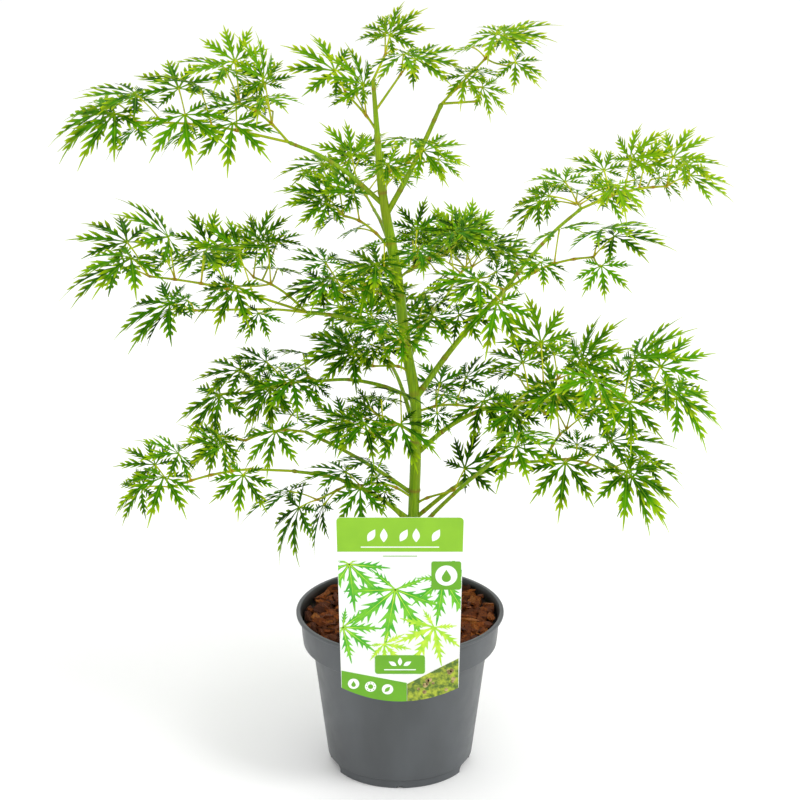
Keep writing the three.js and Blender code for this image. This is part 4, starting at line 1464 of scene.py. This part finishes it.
def grow_crown():
    """Every spray's stem and own leaves, and then the finer growth in the room that is left."""
    stems = {spray.name: spray_stem(spray) for spray in sprays}
    for name, stem in stems.items():
        stand_limb(name, stem)
    leaves = {spray.name: grow_leaves(spray, stems[spray.name]) for spray in sprays}
    twigs = []
    for spray in sprays:
        side_twigs, small_leaves = grow_finer(spray, stems[spray.name])
        twigs += side_twigs
        leaves[spray.name] += small_leaves
    return stems, twigs, leaves


def stem_shapes(stems, twigs):
    """Stems that swell and redden at their joints, and plain side twigs."""
    shape = Gathered()
    for stem in stems:
        line, radii = smooth_line(stem, wood_step)
        near = np.min([np.linalg.norm(line - joint, axis=1) for joint in stem.points[1:]], axis=0)
        joint = np.clip(1 - near / joint_reach, 0, 1)
        points, faces = swept(line, radii * (stem_girth + joint_swell * joint), stem_sides)
        shape.add(points, faces, point_marks(np.repeat(joint, stem_sides)))
    for twig in twigs:
        points, faces = swept(*smooth_line(twig, wood_step), twig_sides)
        shape.add(points, faces, (twig_blush, 0, 0))
    return shape


def stalk_shapes(leaves):
    shape = Gathered()
    near_foot = np.clip(1 - np.arange(stalk_points) / stalk_foot_points, 0, 1)
    for leaf in leaves:
        points, faces = swept(*stalk_line(leaf), stalk_sides)
        shape.add(points, faces, point_marks(np.repeat(near_foot, stalk_sides)))
    return shape


def blade_shapes(names, leaves):
    """All blades of some sprays. Points carry their places on the lobe, and each leaf its own chance."""
    shape = Gathered()
    pattern, triangles = leaf_pattern()
    for name in names:
        draw = seeded_draws("blades_" + name)
        for leaf in leaves[name]:
            marks = point_marks(pattern[:, 0], pattern[:, 3], next(draw))
            shape.add(blade_points(leaf, pattern, draw), triangles, marks)
    return shape


def make_sprays(leaf_finish, stem_finish, stalk_finish):
    stems, twigs, leaves = grow_crown()
    names = [spray.name for spray in sprays]
    all_leaves = [leaf for name in names for leaf in leaves[name]]
    piece_from("spray_stems", stem_shapes(stems.values(), twigs), stem_finish, names)
    piece_from("leaf_stalks", stalk_shapes(all_leaves), stalk_finish, names)
    for green, finish in leaf_finish.items():
        own = [spray.name for spray in sprays if spray.green == green]
        piece_from("maple_leaves_" + green, blade_shapes(own, leaves), finish, own)


# Stage: a pale paper floor in a white studio, in metres

floor_size = 9
floor_white = "#fefefe"
softboxes = (
    ("key_softbox", (1.7, -1.2, 2.5), 1.0, 34),
    ("fill_softbox", (-1.9, -1.4, 1.5), 1.8, 0.5),
    ("back_softbox", (-0.4, 1.9, 2.2), 1.6, 6),
)
light_aim = (0, 0, 0.35)
camera_place = (0, -2.1, 1.101)
camera_tilt = 19.61
lens_mm = 112.9
sensor_mm = 36


def make_stage():
    bpy.ops.mesh.primitive_plane_add(size=floor_size, location=(0, 0, 0))
    floor = bpy.context.object
    floor.name = "studio_floor"
    material, _, shader = surface("pale_paper_floor", 0.9)
    shader.inputs["Base Color"].default_value = linear(floor_white)
    floor.data.materials.append(material)
    world = bpy.data.worlds.new("studio")
    world.use_nodes = True
    world.node_tree.nodes["Background"].inputs["Color"].default_value = (1, 1, 1, 1)
    world.node_tree.nodes["Background"].inputs["Strength"].default_value = 1.0
    bpy.context.scene.world = world
    bpy.context.scene.view_settings.view_transform = "Standard"
    for name, place, size, power in softboxes:
        light = bpy.data.lights.new(name, "AREA")
        light.energy = power
        light.size = size
        lamp = linked(name, light)
        lamp.location = place
        aim = np.array(light_aim) - np.array(place)
        lamp.rotation_euler = (atan2(hypot(aim[0], aim[1]), -aim[2]), 0, atan2(-aim[0], aim[1]))


def make_camera():
    """At the photograph's height and tilt, with its long lens."""
    lens = bpy.data.cameras.new("camera")
    lens.lens = lens_mm
    lens.sensor_width = sensor_mm
    camera = linked("camera", lens)
    camera.location = camera_place
    camera.rotation_euler = (radians(90 - camera_tilt), 0, 0)
    bpy.context.scene.camera = camera


# Assembly

make_camera()
make_stage()

for row in bough_table:
    limbs[row[0]] = bough_limb(*row[1:])
for limb_name, limb in limbs.items():
    stand_limb(limb_name, limb)

make_pot(moulded_plastic())
make_bed(dark_compost())
make_chips(bark_chips())
make_label()
make_wood(young_bark())
# Each leaf finish takes shade, light, rib and edge greens; the edge green is partly a painted highlight.
make_sprays(
    {
        "deep": living_leaf("maple_leaf_deep", "#0e3400", "#347602", "#78a30c", "#a0c20e"),
        "mid": living_leaf("maple_leaf_mid", "#164800", "#488a02", "#8cb40e", "#b2cc10"),
        "fresh": living_leaf("maple_leaf_fresh", "#205a00", "#5a9403", "#9cbe12", "#bed016"),
        "young": living_leaf("maple_leaf_young", "#2e6600", "#669906", "#a6c01a", "#c4d01c"),
    },
    green_shoot("maple_shoot", "#94b018", "#a07c1a"),
    green_shoot("maple_leaf_stalk", "#bccc1e", "#b89e1e"),
)
